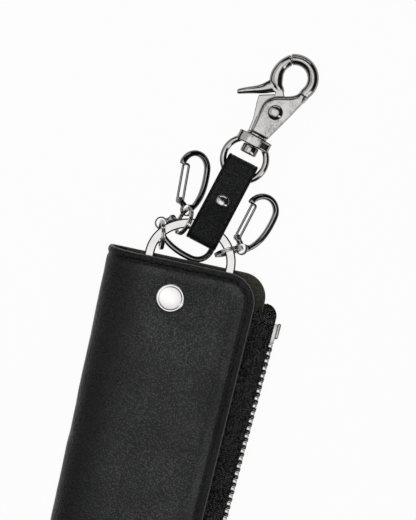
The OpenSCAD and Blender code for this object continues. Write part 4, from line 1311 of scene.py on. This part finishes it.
class KEYCASE_OT_zip_pull(Build, bpy.types.Operator):
    """Pull: a bar through the lug, two arms and a tab with a slot"""
    bl_idname = "keycase.zip_pull"
    bl_label = "Zip pull"

    def build(self):
        gap, arm_w, arm_len, tab_len, half, d = 1.1, 1.1, 6.0, 18.0, 3.0, 1.3
        low, end = -arm_len, half - arm_len - tab_len
        neck = [(low + 0.1, half - 0.9), (low - 0.5, half - 0.3), (low - 1.4, half)]
        outline = (neck + arc((end, 0), half, 90, 270, 24)
                   + [(y, -z) for y, z in neck[::-1]])
        slot = arc((end + 0.4, 0), 1.2, 90, 270) + arc((low - 3.6, 0), 1.2, -90, 90)
        parts = [slab(outline, -d / 2, d / 2, 0.3, 3, holes=(slot,), stand=True)]
        for side in (1, -1):
            z0, z1 = sorted((side * gap, side * (gap + arm_w)))
            parts.append(block((-d / 2, low - 0.4, z0), (d / 2, 0.65, z1), 0.3, 3))
        w = gap + arm_w
        bar = mirrored([(d / 2, w - 0.1), (d / 2 - 0.1, w), (0, w)])
        piece("zip_pull_tab", joined(*parts, Skin().lathe(bar, n=24).mesh()), "zip_metal",
              "pull", "zip_pull", frame=zip_frame() @ moved(LUG_X, SLIDER_Y),
              keep_angle=0.6)


# Press stud
def raised(profile, z):
    return [(r, z + h) for r, h in profile]


class KEYCASE_OT_press_stud(Build, bpy.types.Operator):
    """Cap and socket on the flap, stud and post on the leaf"""
    bl_idname = "keycase.press_stud"
    bl_label = "Press stud"

    def build(self):
        r, h, rise = 6.25, 1.58, 1.25
        cap = [(0, 0), (r - 0.25, 0.05), (r, 0.22), (r, 0.5), (r - 0.12, 0.78),
               (r - 0.45, 1.05), (r - 0.8, 1.17), (r - 1.05, 1.12), (r - 1.2, 1.13),
               (r - 1.35, rise)]
        for k in range(1, 15):
            x = 1 - k / 14
            cap.append(((r - 1.35) * x, rise + (h - rise) * (1 - x ** 2)))
        skin = Skin().lathe(raised(cap, FLAP_TOP), SNAP_AT, 96)
        # post through the flap, under the cap
        skin.lathe([(0, KEY_HIGH), (POST_R, KEY_HIGH), (POST_R, FLAP_TOP + 0.1),
                    (0, FLAP_TOP + 0.1)], SNAP_AT, 32)
        piece("snap_cap_dome", skin, "pressed_plate", "flap", "snap_cap",
              slot="silver_plate", keep_angle=0.9)
        bore = 2.55
        socket = [(bore + 0.15, -0.4), (bore, -0.7), (bore, -1.9), (bore + 0.25, -2.2),
                  (bore + 0.9, -2.2), (bore + 1.3, -1.95), (3.9, -1.25), (4.5, -1.0),
                  (4.8, -0.85), (5.0, -0.6), (5.0, -0.1), (4.9, 0), (0, 0), (0, -0.4),
                  (bore - 0.1, -0.4), (bore + 0.15, -0.4)]
        stud = [(0, 0), (3.5, 0), (3.7, 0.15), (3.65, 0.5), (3.3, 0.75), (2.6, 0.85),
                (2.0, 1.0), (1.72, 1.3), (1.7, 2.9), (1.85, 3.1), (2.15, 3.3),
                (2.2, 3.6), (2.05, 3.95), (1.6, 4.3), (0.9, 4.4), (0, 4.4)]
        through = LEAF_TOP - POCKET_HIGH
        post = [(0, -0.8), (2.6, -0.8), (3.4, -0.6), (3.7, -0.25), (3.7, -0.05),
                (3.6, 0), (POST_R, 0), (POST_R, through), (0, through)]
        for name, node, profile, z, n, body in (
                ("snap_socket_ring", "snap_socket", socket, KEY_HIGH, 64, "flap"),
                ("snap_stud_ball", "snap_stud", stud, LEAF_TOP, 48, "case"),
                ("snap_stud_post_head", "snap_stud_post", post, POCKET_HIGH, 48, "case")):
            piece(name, Skin().lathe(raised(profile, z), SNAP_AT, n), "silver_plate", body,
                  node, keep_angle=0.9)


# Key plate and bail
ALONG_X = turned(y=90)
ALONG_Y = turned(x=-90)


class KEYCASE_OT_key_plate(Build, bpy.types.Operator):
    """Plate with ears, its rivets and the bail's pin"""
    bl_idname = "keycase.key_plate"
    bl_label = "Key plate"

    def build(self):
        low, high, top = PLATE_LOW, PLATE_TOP, LEAF_TOP + KEY_PLATE_T
        notch, x0, x1 = PIVOT_Y - KNUCKLE_R - 0.2, BAIL_HALF - 2.2, BAIL_HALF + 2.2
        right = [(PLATE_HALF - 1, low), (PLATE_HALF, low + 1), (PLATE_HALF, high),
                 (x1, high), (x1, notch), (x0, notch), (x0, high)]
        parts = [slab([(-x, y) for x, y in right[1::-1]] + right
                      + [(-x, y) for x, y in right[:1:-1]], LEAF_TOP, top, 0.15)]
        ear = ([(PIVOT_Y - KNUCKLE_R, LEAF_TOP + 0.4)]
               + arc((PIVOT_Y, PIVOT_Z), KNUCKLE_R, 180, 0, 20)
               + [(PIVOT_Y + KNUCKLE_R, LEAF_TOP + 0.4)])
        hole = arc((PIVOT_Y, PIVOT_Z), PIN_R + 0.02, 0, 345, 23)
        for x in (-PLATE_HALF, -EAR_IN - EAR_W, EAR_IN, EAR_OUT):
            parts.append(slab(ear, x, x + EAR_W, 0.15, holes=(hole,), stand=True))
        piece("key_plate_body", joined(*parts), "silver_plate", "case", "key_plate",
              keep_angle=0.6)
        skin = Skin()
        for side in (1, -1):
            skin.lathe(raised([(0, 0.8), (1.4, 0.74), (2.3, 0.5), (2.7, 0.15), (2.75, 0),
                               (POST_R, 0)], top)
                       + raised([(POST_R, 0), (2.75, 0), (2.6, -0.4), (1.9, -0.7),
                                 (0, -0.8)], POCKET_HIGH), (side * 8, PLATE_MID), 40)
        piece("key_plate_rivet_heads", skin, "silver_plate", "case", "key_plate_rivets",
              keep_angle=0.9)
        pin = mirrored([(PIN_R, PLATE_HALF - 0.4), (PIN_R - 0.02, PLATE_HALF - 0.2),
                        (0.55, PLATE_HALF), (0, PLATE_HALF)])
        skin = Skin().lathe(pin, n=32, axis=moved(0, PIVOT_Y, PIVOT_Z) @ ALONG_X)
        piece("bail_hinge_pin_rod", skin, "silver_plate", "case", "bail_hinge_pin",
              keep_angle=0.9)


def chamfered(w, t, c):
    """Strip section with bevelled edges, as (side, up)."""
    return np.array([(w / 2, -t / 2 + c), (w / 2, t / 2 - c), (w / 2 - c * 1.4, t / 2),
                     (c * 1.4 - w / 2, t / 2), (-w / 2, t / 2 - c), (-w / 2, c - t / 2),
                     (c * 1.4 - w / 2, -t / 2), (w / 2 - c * 1.4, -t / 2)])


class KEYCASE_OT_bail(Build, bpy.types.Operator):
    """Flat half oval with bevelled edges and rolled ends"""
    bl_idname = "keycase.bail"
    bl_label = "Bail"

    def build(self):
        leg = np.linspace(PIVOT_Y, BAIL_Y - 0.6, 8)
        path = ([(BAIL_HALF, y) for y in leg]
                + [bail_xy(t) for t in np.linspace(0, 180, 97)]
                + [(-BAIL_HALF, y) for y in leg[::-1]])
        skin = Skin().sweep(even([(x, y, PIVOT_Z) for x, y in path], 180),
                            chamfered(STRIP_W, STRIP_T, 0.42))
        w, bore = STRIP_W / 2, PIN_R + PIN_GAP
        knuckle = mirrored([(KNUCKLE_R, w - 0.25), (KNUCKLE_R - 0.25, w), (bore, w)])
        for side in (1, -1):
            skin.lathe(knuckle + knuckle[:1], n=36,
                       axis=moved(side * BAIL_HALF, PIVOT_Y, PIVOT_Z) @ ALONG_X)
        piece("bail_strip", skin, "silver_plate", "bail", "bail", merge=0.001,
              keep_angle=0.35)


# Split rings
class KEYCASE_OT_split_rings(Build, bpy.types.Operator):
    """Three double rings of flat wire with a step where the turns swap"""
    bl_idname = "keycase.split_rings"
    bl_label = "Split rings"

    def build(self):
        section = soft_box(RING_WIRE, RING_TURN - 0.03, 0.16, 3)
        angles = np.linspace(-2, 722, 260)
        turn = np.radians(angles + 180)
        drop = RING_TURN / 2 * (1 - 2 * step(angles, 338, 382))
        path = np.stack([RING_MEAN * np.cos(turn), RING_MEAN * np.sin(turn), drop], 1)
        size = np.ones((len(angles), 2))
        size[:, 1] = 0.55 + 0.45 * step(np.minimum(angles + 2, 722 - angles), 0, 5)
        for i, name in enumerate(NAMES):
            piece(f"split_ring_{name}_coil", Skin().sweep(path, section, scale=size),
                  "silver_plate", f"ring_{name}", f"split_ring_{name}",
                  frame=ring_frame(i), merge=0.001, keep_angle=0.6)


# Clips
def bezier(points, n):
    t = np.linspace(0, 1, n)[:, None]
    a, b, c, d = np.array(points, float)
    return (a * (1 - t) ** 3 + 3 * b * t * (1 - t) ** 2 + 3 * c * t * t * (1 - t)
            + d * t ** 3)


def clip_line():
    """Centreline of a clip's bar from its nose round to its heel."""
    back = bezier([(TOP_X, -TOP_R), (TOP_X - 8, -TOP_R), (6.6, -4.6), HEEL], 28)
    return np.concatenate([arc((TOP_X, 0), TOP_R, 79, -90, 36), back[1:]])


class KEYCASE_OT_clips(Build, bpy.types.Operator):
    """Three cast clips with an eye at the foot and a nose at the top"""
    bl_idname = "keycase.clips"
    bl_label = "Clips"

    def build(self):
        line = even(clip_line(), 90)
        k = np.linspace(0, 1, len(line))
        size = np.stack([1 - 0.10 * step(k, 0.75, 1.0), 1 - 0.16 * step(k, 0.8, 1.0)], 1)
        size *= (0.80 + 0.20 * step(k, 0.0, 0.03))[:, None]
        circle = circle_section(1, 20)
        section = CLIP_BAR / 2 * np.sign(circle) * np.abs(circle) ** 0.72
        bar = Skin().sweep(line, section, scale=size)
        bar.sweep(even([EYE_AT, (4.6, 3.2), STUB_AT], 10), section,
                  scale=np.linspace((0.9, 0.78), (0.98, 0.95), 10))
        web = arc(EYE_AT, EYE_R, 60, 330, 30) + [(4.9, -1.6), (5.2, 0.4), (5.0, 2.2)]
        boss = Skin().lathe(mirrored([(1.5, 1.1), (1.25, 1.3), (0, 1.3)]), STUB_AT, 28)
        heel = Skin().lathe(mirrored([(1.45, 0.8), (1.1, 1.1), (0, 1.1)]),
                            (HEEL[0] + 0.5, HEEL[1] - 0.1), 28)
        hole = Skin().lathe(mirrored([(2.08, 0.4), (2.2, 0.9), (2.35, 3), (0, 3)]),
                            EYE_AT, 40)
        body = joined(bar.solid(), slab(web, -1.0, 1.0, 0.3), boss.solid(), heel.solid())
        shape = cast(body, hole.solid(), voxel=0.2, rounds=6)
        for i, name in enumerate(NAMES):
            piece(f"clip_{name}_body", shape.copy(), "gunmetal", f"clip_{name}",
                  f"clip_{name}", frame=clip_frame(i), merge=0)
        bpy.data.meshes.remove(shape)


class KEYCASE_OT_clip_gates(Build, bpy.types.Operator):
    """Gates of bent wire: pin, two runs and a rounded end round the nose"""
    bl_idname = "keycase.clip_gates"
    bl_label = "Clip gates"

    def build(self):
        stub, tip = np.array(STUB_AT), np.array(GATE_TIP)
        ahead = (tip - stub) / np.linalg.norm(tip - stub)
        path = [(*(p + ahead * sign * (0.9 * cos(a) - 0.55)), sign * GATE_Z * sin(a))
                for p, sign in ((tip, 1), (stub, -1)) for a in np.linspace(-90, 90, 9)]
        wire = Skin().sweep(even(path + path[:1], 121)[:-1], circle_section(GATE_R, 14),
                            up=(-ahead[1], ahead[0], 0), closed=True)
        pin = Skin().lathe(mirrored([(GATE_R, GATE_Z), (0, GATE_Z)]), STUB_AT, 18)
        for i, name in enumerate(NAMES):
            piece(f"clip_gate_{name}_wire", joined(wire.solid(), pin.solid()), "gunmetal",
                  f"gate_{name}", f"clip_gate_{name}", frame=clip_frame(i), merge=0,
                  keep_angle=0.9)


# Strap
def strap_side(t):
    """Closed side line of the folded strap at a distance t from its inside."""
    r = LOOP_R + t
    rise = [(k, t + (r - t) * k * k * (3 - 2 * k)) for k in np.linspace(0, 1, 18)]
    top = [(FLAT_HIGH + (HIGH_FULL - FLAT_HIGH) * k, h) for k, h in rise]
    low = [(FLAT_LOW + (LOW_FULL - FLAT_LOW) * k, h) for k, h in rise[::-1]]
    return np.array(arc((LOOP_MID[0], 0), r, 90, 270, 20) + [(y, -h) for y, h in low + top]
                    + arc((LOOP_MID[1], 0), r, -90, 90, 20) + top[::-1] + low[::-1])


class KEYCASE_OT_strap(Build, bpy.types.Operator):
    """Folded strap: one closed band of leather with a loop at each end"""
    bl_idname = "keycase.strap"
    bl_label = "Strap"

    def build(self):
        w, t, n = STRAP_W, STRAP_T, 260
        side_line = strap_side(t / 2)
        line = even(np.concatenate([side_line, side_line[:1]]), n + 1)[:-1]
        rim = np.array([0, .08, .2, .38, .6, .85, 1.1, 1.3, 1.5, 1.7, 1.9, 2.2, 2.8, 3.6,
                        4.6])
        xs = np.concatenate([rim - w / 2, np.linspace(-1.0, 1.0, 5), (w / 2 - rim)[::-1]])
        edge = w / 2 - np.abs(xs)
        share = round_edge(edge, t / 2) * t / 2
        tangent = np.roll(line, -1, 0) - np.roll(line, 1, 0)
        tangent /= np.linalg.norm(tangent, axis=1)[:, None]
        normal = np.stack([tangent[:, 1], -tangent[:, 0]], 1)
        normal *= np.sign(((line - line.mean(0)) * normal).sum())
        soft = Waves(41, 11)(xs * 1.2, line[:, 0:1] + line[:, 1:2] * 3) * 0.05
        near = np.hypot(xs, line[:, 0:1] - RIVET_Y)
        sink = 0.22 * bump(near, 3.2, 1.3) * (np.abs(line[:, 1:2]) < t)
        swell = (soft * step(edge, 0.3, 2) - 0.16 * bump(edge, 1.5, 0.3) - sink
                 + 0.06 * bump(edge, 0.8, 0.35))
        faces = []
        for off in (share + swell, np.broadcast_to(-share, swell.shape)):
            yz = line[:, None, :] + normal[:, None, :] * off[..., None]
            faces.append(np.dstack([np.broadcast_to(xs, off.shape), yz]))
        flat = np.stack(np.broadcast_arrays(edge * 3, np.arange(n)[:, None]), -1)
        piece("strap_band", Skin().faced(*faces, flat, wrap_u=True), "strap_leather",
              "strap", "strap", frame=strap_frame())


class KEYCASE_OT_strap_stitching(Build, bpy.types.Operator):
    """Stitches along both edges of the strap, above and below"""
    bl_idname = "keycase.strap_stitching"
    bl_label = "Strap stitching"

    def build(self):
        outer = strap_side(STRAP_T)
        y, z = outer.T
        upper = outer[(z > 0) & (y > 0.2) & (y < STRAP_TOP - 3.0)]
        line = even(upper[np.argsort(upper[:, 0])], 260)
        slope = np.gradient(line, axis=0)
        slope /= np.linalg.norm(slope, axis=1)[:, None]
        skin = Skin()
        for face in (1, -1):
            for side in (-1, 1):
                x = np.full(len(line), side * (STRAP_W / 2 - 1.5))
                stitches(skin, np.c_[x, line[:, 0], face * line[:, 1]],
                         np.c_[np.zeros(len(x)), -slope[:, 1], face * slope[:, 0]],
                         3.3, 2.3, 0.6, 0.16, sink=0.08)
        piece("strap_stitching_thread", skin, "thread", "strap", "strap_stitching",
              frame=strap_frame())


class KEYCASE_OT_strap_rivet(Build, bpy.types.Operator):
    """Domed rivet cap and its post"""
    bl_idname = "keycase.strap_rivet"
    bl_label = "Strap rivet"

    def build(self):
        r, h = RIVET_D / 2, RIVET_H
        dome = [(0, -0.1), (r - 0.25, -0.1), (r, 0.08)]
        dome += [(r * cos(a) ** 0.85, 0.12 + (h - 0.12) * sin(a))
                 for a in np.arange(1, 17) * 90 / 16]
        post = [(0, -0.8), (r - 0.9, -0.8), (r - 0.25, -0.55), (r, -0.15), (r - 0.1, 0),
                (POST_R, 0), (POST_R, 2 * STRAP_T), (0, 2 * STRAP_T)]
        for name, node, profile, z, n in (
                ("strap_rivet_cap_dome", "strap_rivet_cap", dome, STRAP_T, 64),
                ("strap_rivet_post_head", "strap_rivet_post", post, -STRAP_T, 48)):
            piece(name, Skin().lathe(raised(profile, z), n=n), "silver_plate", "strap",
                  node, frame=strap_frame() @ moved(0, RIVET_Y), keep_angle=0.9)


# Trigger snap
def spun(profile, n=48):
    """A lathe mesh whose axis is the swivel's."""
    return Skin().lathe(profile, n=n, axis=ALONG_Y).solid()


class KEYCASE_OT_swivel_ring(Build, bpy.types.Operator):
    """Open ring of thick wire closed by a bored, barrel-shaped band"""
    bl_idname = "keycase.swivel_ring"
    bl_label = "Swivel ring"

    def build(self):
        ring = Skin().sweep(arc((0, 0), SWIVEL_R, 126, 414, 96),
                            circle_section(SWIVEL_WIRE / 2, 20))
        low, high, full = BAND_LOW, BAND_HIGH, 2.1
        band = Skin().lathe([(0, low), (0.90, low), (0.97, low + 0.18),
                             (0.985, low + 0.5), (0.985, high - 1.25),
                             (0.955, high - 1.1), (0.955, high - 0.95), (1, high - 0.8),
                             (1, high - 0.3), (0.975, high - 0.08), (0.93, high),
                             (0, high)], n=72, axis=ALONG_Y)
        for p in band.points:
            r = np.hypot(p[:, 0], p[:, 2]) + 1e-9
            a, b = np.abs(p[:, 0] / r), np.abs(p[:, 2] / r)
            out = (a ** full + b ** full) ** (-1 / full)
            p[:, 0] *= BAND_HALF * out
            p[:, 2] *= (BAND_T / 2 + 0.8) * out
        bore = spun([(0, 3), (1.7, 3), (1.7, 13), (0, 13)], 32)
        piece("swivel_eye_ring", cast(joined(ring.solid(), band.solid()), bore),
              "hook_plate", "swivel_ring", "swivel_eye", frame=swivel_frame(), merge=0)


class KEYCASE_OT_swivel_stud(Build, bpy.types.Operator):
    """Stud with its head, and the washer under the hook"""
    bl_idname = "keycase.swivel_stud"
    bl_label = "Swivel stud"

    def build(self):
        head, end, hr = BAND_LOW - 0.1, BODY_LOW + 4.9, STUD_HEAD_R
        stud = [(0, head - 3.8), (hr - 0.5, head - 3.8), (hr - 0.12, head - 3.6),
                (hr, head - 3.2), (hr, head - 0.5), (hr - 0.15, head - 0.15),
                (hr - 0.5, head), (STUD_R, head), (STUD_R, end), (0, end)]
        low, high, wr, bore = WASHER_LOW, BODY_LOW, WASHER_R, STUD_R + 0.02
        washer = [(bore, low), (wr - 0.25, low), (wr - 0.04, low + 0.08), (wr, low + 0.25),
                  (wr, high - 0.25), (wr - 0.04, high - 0.08), (wr - 0.25, high),
                  (bore, high), (bore, low)]
        for name, node, profile in (("swivel_stud_pin", "swivel_stud", stud),
                                    ("swivel_washer_ring", "swivel_washer", washer)):
            piece(name, spun(profile), "hook_plate", "hook", node, frame=swivel_frame(),
                  keep_angle=0.8)


def bow_point(angle):
    return (BOW_AT[0] + BOW_R * cos(angle), BOW_AT[1] + BOW_R * sin(angle))


# Front cheek, with the depth of its rounded edge at each corner
FRONT_CHEEK = ((-3.2, BODY_LOW, 0.9), (-3.3, 14.6, 1.2), (-3.6, 17.6, 1.6),
               (-4.2, 21.3, 2.0), (-4.2, 24.4, 2.1), (-3.2, 27.2, 2.1), (-0.9, 29.7, 2.1),
               (2, 31.3, 2.1), (4.6, 32.6, 2.2), (6.7, 34.4, 2.2), (7.9, 36.6, 2.2))
CHEEK_RIGHT = [(11.9, 36.4, 2.0), (11.0, 32.4, 0.9), (9.0, 25.2, 0.6),
               (4.8, BODY_LOW, 0.6)]
# Shank of the bow inside the cheek, with the share of the bow's thickness
SHANK = ((7.6, 27.6, 0.45), (8.3, 30.2, 0.7), (9.2, 33.6, 0.95))
REAR_CHEEK = [(-4.4, BODY_LOW), (-4.8, 16.7), (-5.7, 20.2), (-6.8, 24), (-7.4, 27.2),
              (-0.3, 31.3), (2.5, 31.8), (9.8, 33.2), (11.1, 32.4), (4.8, BODY_LOW)]
SLOT = [(-14, 18.6), (4.9, 18.6), (6.9, 25.4), (3.1, 32.2), (2.4, 34), (-14, 40)]


def soft_slab(outline, half, depths, rise):
    """Parts of a plate whose edge is rounded by a depth of its own at each corner."""
    ahead = np.roll(outline, -1, 0) - outline
    ahead /= np.linalg.norm(ahead, axis=1)[:, None]
    (x, y), (x1, y1) = outline.T, np.roll(outline, -1, 0).T
    inward = np.stack([-ahead[:, 1], ahead[:, 0]], 1) * np.sign((x * y1 - y * x1).sum())
    before = np.roll(inward, 1, 0)
    mitre = (before + inward) / (1 + (before * inward).sum(1))[:, None]
    inner = outline + mitre * depths[:, None]
    rim = [(cos(a), rise * sin(a) + (half - rise) * (1 if a < 180 else -1))
           for a in (*range(0, 181, 10), *range(180, 360, 10))]
    edge = Skin().sweep(inner, rim, closed=True,
                        scale=np.stack([depths, np.ones(len(depths))], 1))
    return [edge.solid(), slab(inner.tolist(), -half, half)]


class KEYCASE_OT_hook_body(Build, bpy.types.Operator):
    """Cast body: two flat cheeks, a neck and the round bow"""
    bl_idname = "keycase.hook_body"
    bl_label = "Hook body"

    def build(self):
        line = np.array([*SHANK, *((*bow_point(a), 1)
                                   for a in np.linspace(BOW_LOW, BOW_HIGH, 90))])
        bow = Skin().sweep(line[:, :2], circle_section(BOW_D / 2, 28), scale=line[:, 2])
        half, slot = HOOK_T / 2, SLOT_T / 2
        cheek = np.concatenate([curve(FRONT_CHEEK), CHEEK_RIGHT])
        front = soft_slab(cheek[:, :2], half, cheek[:, 2], 2.2)
        rear = slab(REAR_CHEEK, -half, -slot, 0.3)
        piece("hook_body_cast", cast(joined(bow.solid(), *front, rear),
                                     slab(SLOT, -slot, slot)),
              "hook_cast", "hook", "hook_body", slot="hook_plate", frame=swivel_frame(),
              merge=0)


class KEYCASE_OT_hook_rivet(Build, bpy.types.Operator):
    """Rivet with a domed head on both sides"""
    bl_idname = "keycase.hook_rivet"
    bl_label = "Hook rivet"

    def build(self):
        r, h = 3.25, 1.3
        dome = [(1.3, 0), (r, 0), (r, 0.12)]
        dome += [(r * cos(a) ** 0.9, 0.12 + (h - 0.12) * sin(a))
                 for a in np.arange(1, 14) * 90 / 13]
        skin = Skin().lathe(mirrored(raised(dome, HOOK_T / 2)), RIVET_AT, 48)
        piece("hook_rivet_domes", skin, "hook_plate", "hook", "hook_rivet",
              frame=swivel_frame(), keep_angle=0.9)


LEVER_PLATE = [(0.6, 33.9), (-0.4, 34.6), (-3.4, 34.2), (-3.8, 32.4), (-2.8, 31.2),
               (-1.4, 31.1), (-1.3, 24), (5.3, 24.5), (3.4, 29), (2.3, 31.9)]
# Middle line of the thumb tab with its half width and half thickness
TAB = ((-16.2, 24.0, 0.7, 0.6), (-15.7, 24.3, 1.1, 1.0), (-13.3, 26.0, 1.4, 1.3),
       (-10.5, 27.8, 1.65, 1.45), (-8.2, 29.3, 1.9, 1.5), (-6.0, 31.1, 2.4, 1.5),
       (-4.2, 32.9, 2.8, 1.6), (-2.2, 34.3, 2.6, 1.6))
# The same of the jaw
JAW = ((1.4, 32.3, 1.0, 1.3), (0.5, 32.6, 1.7, 1.5), (-0.5, 33.0, 2.05, 1.65),
       (-1.6, 33.6, 2.3, 1.75), (-2.8, 34.6, 2.7, 2.0), (-3.8, 36.2, 2.9, 2.2),
       (-4.55, 38.8, 2.75, 2.3), (-4.4, 42.0, 2.45, 2.35), (-3.5, 44.3, 2.4, 2.35),
       (-2.2, 46.2, 2.38, 2.35), (-0.9, 47.8, 2.35, 2.35))


class KEYCASE_OT_trigger_lever(Build, bpy.types.Operator):
    """Lever: boss, thumb tab and the thick jaw that meets the nose"""
    bl_idname = "keycase.trigger_lever"
    bl_label = "Trigger lever"

    def build(self):
        half = LEVER_T / 2
        boss = mirrored([(3.1, half - 0.2), (2.9, half), (0, half)])
        parts = [slab(LEVER_PLATE, -half, half, 0.3),
                 Skin().lathe(boss, RIVET_AT, 40).solid()]
        for bar in (curve(TAB), curve(JAW)):
            parts.append(Skin().sweep(bar[:, :2], circle_section(1, 28),
                                      scale=bar[:, 2:]).solid())
        hole = Skin().lathe(mirrored([(1.36, 4), (0, 4)]), RIVET_AT, 28).solid()
        gap = block((3, -7, -4), (13, 0, 4), 0)
        gap.transform(in_metres(moved(*BOW_AT) @ turned(0, 0, BOW_HIGH + 3.2)))
        lever = cast(joined(*parts), hole, gap)
        tip = Skin().sweep([bow_point(BOW_HIGH + a) for a in (0.7, 2, 3.5, 5, 7)],
                           circle_section(BOW_D / 2 - 0.5, 24)).solid()
        piece("trigger_lever_cast", joined(lever, tip), "hook_plate", "trigger",
              "trigger_lever", frame=swivel_frame(), merge=0)


class KEYCASE_OT_lever_spring(Build, bpy.types.Operator):
    """Bent leaf spring in the slot"""
    bl_idname = "keycase.lever_spring"
    bl_label = "Lever spring"

    def build(self):
        low, top = np.array([4.7, 18.8]), np.array([6.68, 25.3])
        lean = (top - low) / np.linalg.norm(top - low)
        path = [(0.2, low[1]), (2, low[1]), low + (-1.2, 0), low + (-0.7, 0.02),
                low + (-0.3, 0.15), low + (-0.05, 0.42), low + lean * 0.9,
                low + lean * 3, top]
        skin = Skin().sweep(even(path, 48), soft_box(0.36, 2.4, 0.12, 2))
        piece("lever_spring_leaf", skin, "spring_steel", "hook", "lever_spring",
              frame=swivel_frame(), keep_angle=0.8)


# Stage
FLOOR_HALF, FLOOR_Z = 3000, -0.05
# Direction, reach, height, share of the power, width and length of each lamp, in metres
LAMPS = ((150, 0.6, 0.75, 1.0, 0.9, 0.9), (-35, 0.75, 0.6, 0.45, 0.18, 0.9),
         (75, 0.8, 0.5, 0.35, 0.9, 0.15))
# The world's grey level by height, from straight down to straight up
LEVELS = ((0.0, 0.12), (0.06, 0.1), (0.12, 0.008), (0.915, 0.012), (0.968, 0.85),
          (1.0, 1.0))


class KEYCASE_OT_stage(Build, bpy.types.Operator):
    """Floor, lamps, world and the camera"""
    bl_idname = "keycase.stage"
    bl_label = "Stage"

    def build(self):
        scene = bpy.context.scene
        s = scene.keycase_stage
        scene.view_settings.view_transform = "Standard"
        reach = (-FLOOR_HALF, FLOOR_HALF)
        floor = Skin().grid(np.array([[(x, y, FLOOR_Z) for y in reach] for x in reach]))
        data = floor.mesh("floor")
        data.materials.append(pale_floor("pale_floor", tuple(s.floor_colour)))
        obj = bpy.data.objects.new("floor", data)
        scene.collection.objects.link(obj)
        self.world(scene)
        centre = Vector((7.41, END_Y + 1.8, 8)) * MM
        turn = s.view_turn
        for k, (angle, reach, height, power, w, h) in enumerate(LAMPS[:s.lamp_count]):
            a = math.radians(angle) + turn
            spot = centre + Vector((reach * math.cos(a), reach * math.sin(a), height))
            light = bpy.data.lights.new(f"lamp_{k}", "AREA")
            light.shape, light.size, light.size_y = "RECTANGLE", w, h
            light.energy = s.lamp_power * power * 6
            lamp = bpy.data.objects.new(f"lamp_{k}", light)
            lamp.location = spot
            lamp.rotation_euler = (centre - spot).to_track_quat("-Z", "Y").to_euler()
            scene.collection.objects.link(lamp)
        camera = bpy.data.cameras.new("view")
        camera.sensor_fit = "VERTICAL"
        camera.sensor_height = 24
        camera.lens = camera.sensor_height * s.view_distance / s.view_height
        camera.clip_end = 20
        eye = bpy.data.objects.new("view", camera)
        eye.location = centre + Vector((0, 0, s.view_distance))
        eye.rotation_euler = (0, 0, turn)
        scene.collection.objects.link(eye)
        scene.camera = eye

    def world(self, scene):
        """A soft box overhead, a dim surround and a bright rim round the horizon."""
        t = Tree("studio", "worlds", "Background")
        up = t.xyz(t.node("ShaderNodeTexCoord", out="Generated"))[2]
        stops = [(place, (level, level, level * 1.01)) for place, level in LEVELS]
        light = t.node("ShaderNodeValToRGB", {"stops": stops}, {0: up})
        scene.world = t.finish(Color=light, Strength=SOFT_BOX)
        plain = t.node("ShaderNodeBackground", {}, {"Color": (1, 1, 1), "Strength": 1.0})
        camera = t.node("ShaderNodeLightPath", out="Is Camera Ray")
        t.shown_as(plain, camera, "World Output")


ORDER = (
    KEYCASE_OT_stage, KEYCASE_OT_case_leather, KEYCASE_OT_pocket_leaf,
    KEYCASE_OT_linings, KEYCASE_OT_gusset, KEYCASE_OT_case_stitching,
    KEYCASE_OT_zip_tapes, KEYCASE_OT_zip_teeth, KEYCASE_OT_zip_stops,
    KEYCASE_OT_zip_slider, KEYCASE_OT_zip_pull, KEYCASE_OT_press_stud,
    KEYCASE_OT_key_plate, KEYCASE_OT_bail, KEYCASE_OT_split_rings, KEYCASE_OT_clips,
    KEYCASE_OT_clip_gates, KEYCASE_OT_strap, KEYCASE_OT_strap_stitching,
    KEYCASE_OT_strap_rivet, KEYCASE_OT_swivel_ring, KEYCASE_OT_swivel_stud,
    KEYCASE_OT_hook_body, KEYCASE_OT_hook_rivet, KEYCASE_OT_trigger_lever,
    KEYCASE_OT_lever_spring,
)


class KEYCASE_PT_panel(bpy.types.Panel):
    """Builders of the key case's pieces"""
    bl_idname = "KEYCASE_PT_panel"
    bl_label = "Key case"
    bl_space_type = "VIEW_3D"
    bl_region_type = "UI"
    bl_category = "Key case"

    def draw(self, context):
        layout = self.layout
        for group in ("keycase_leather", "keycase_metal", "keycase_stage"):
            settings = getattr(context.scene, group)
            box = layout.box()
            for key in settings.__annotations__:
                box.prop(settings, key)
        for operator in ORDER:
            layout.operator(operator.bl_idname)


GROUPS = (("keycase_leather", KEYCASE_PG_leather), ("keycase_metal", KEYCASE_PG_metal),
          ("keycase_stage", KEYCASE_PG_stage))


def register():
    for key, group in GROUPS:
        bpy.utils.register_class(group)
        setattr(bpy.types.Scene, key, PointerProperty(type=group))
    for cls in (*ORDER, KEYCASE_PT_panel):
        bpy.utils.register_class(cls)


def unregister():
    for cls in (KEYCASE_PT_panel, *reversed(ORDER)):
        bpy.utils.unregister_class(cls)
    for key, group in reversed(GROUPS):
        delattr(bpy.types.Scene, key)
        bpy.utils.unregister_class(group)


def main():
    register()
    for operator in ORDER:
        group, name = operator.bl_idname.split(".")
        getattr(getattr(bpy.ops, group), name)()


if __name__ == "__main__":
    main()
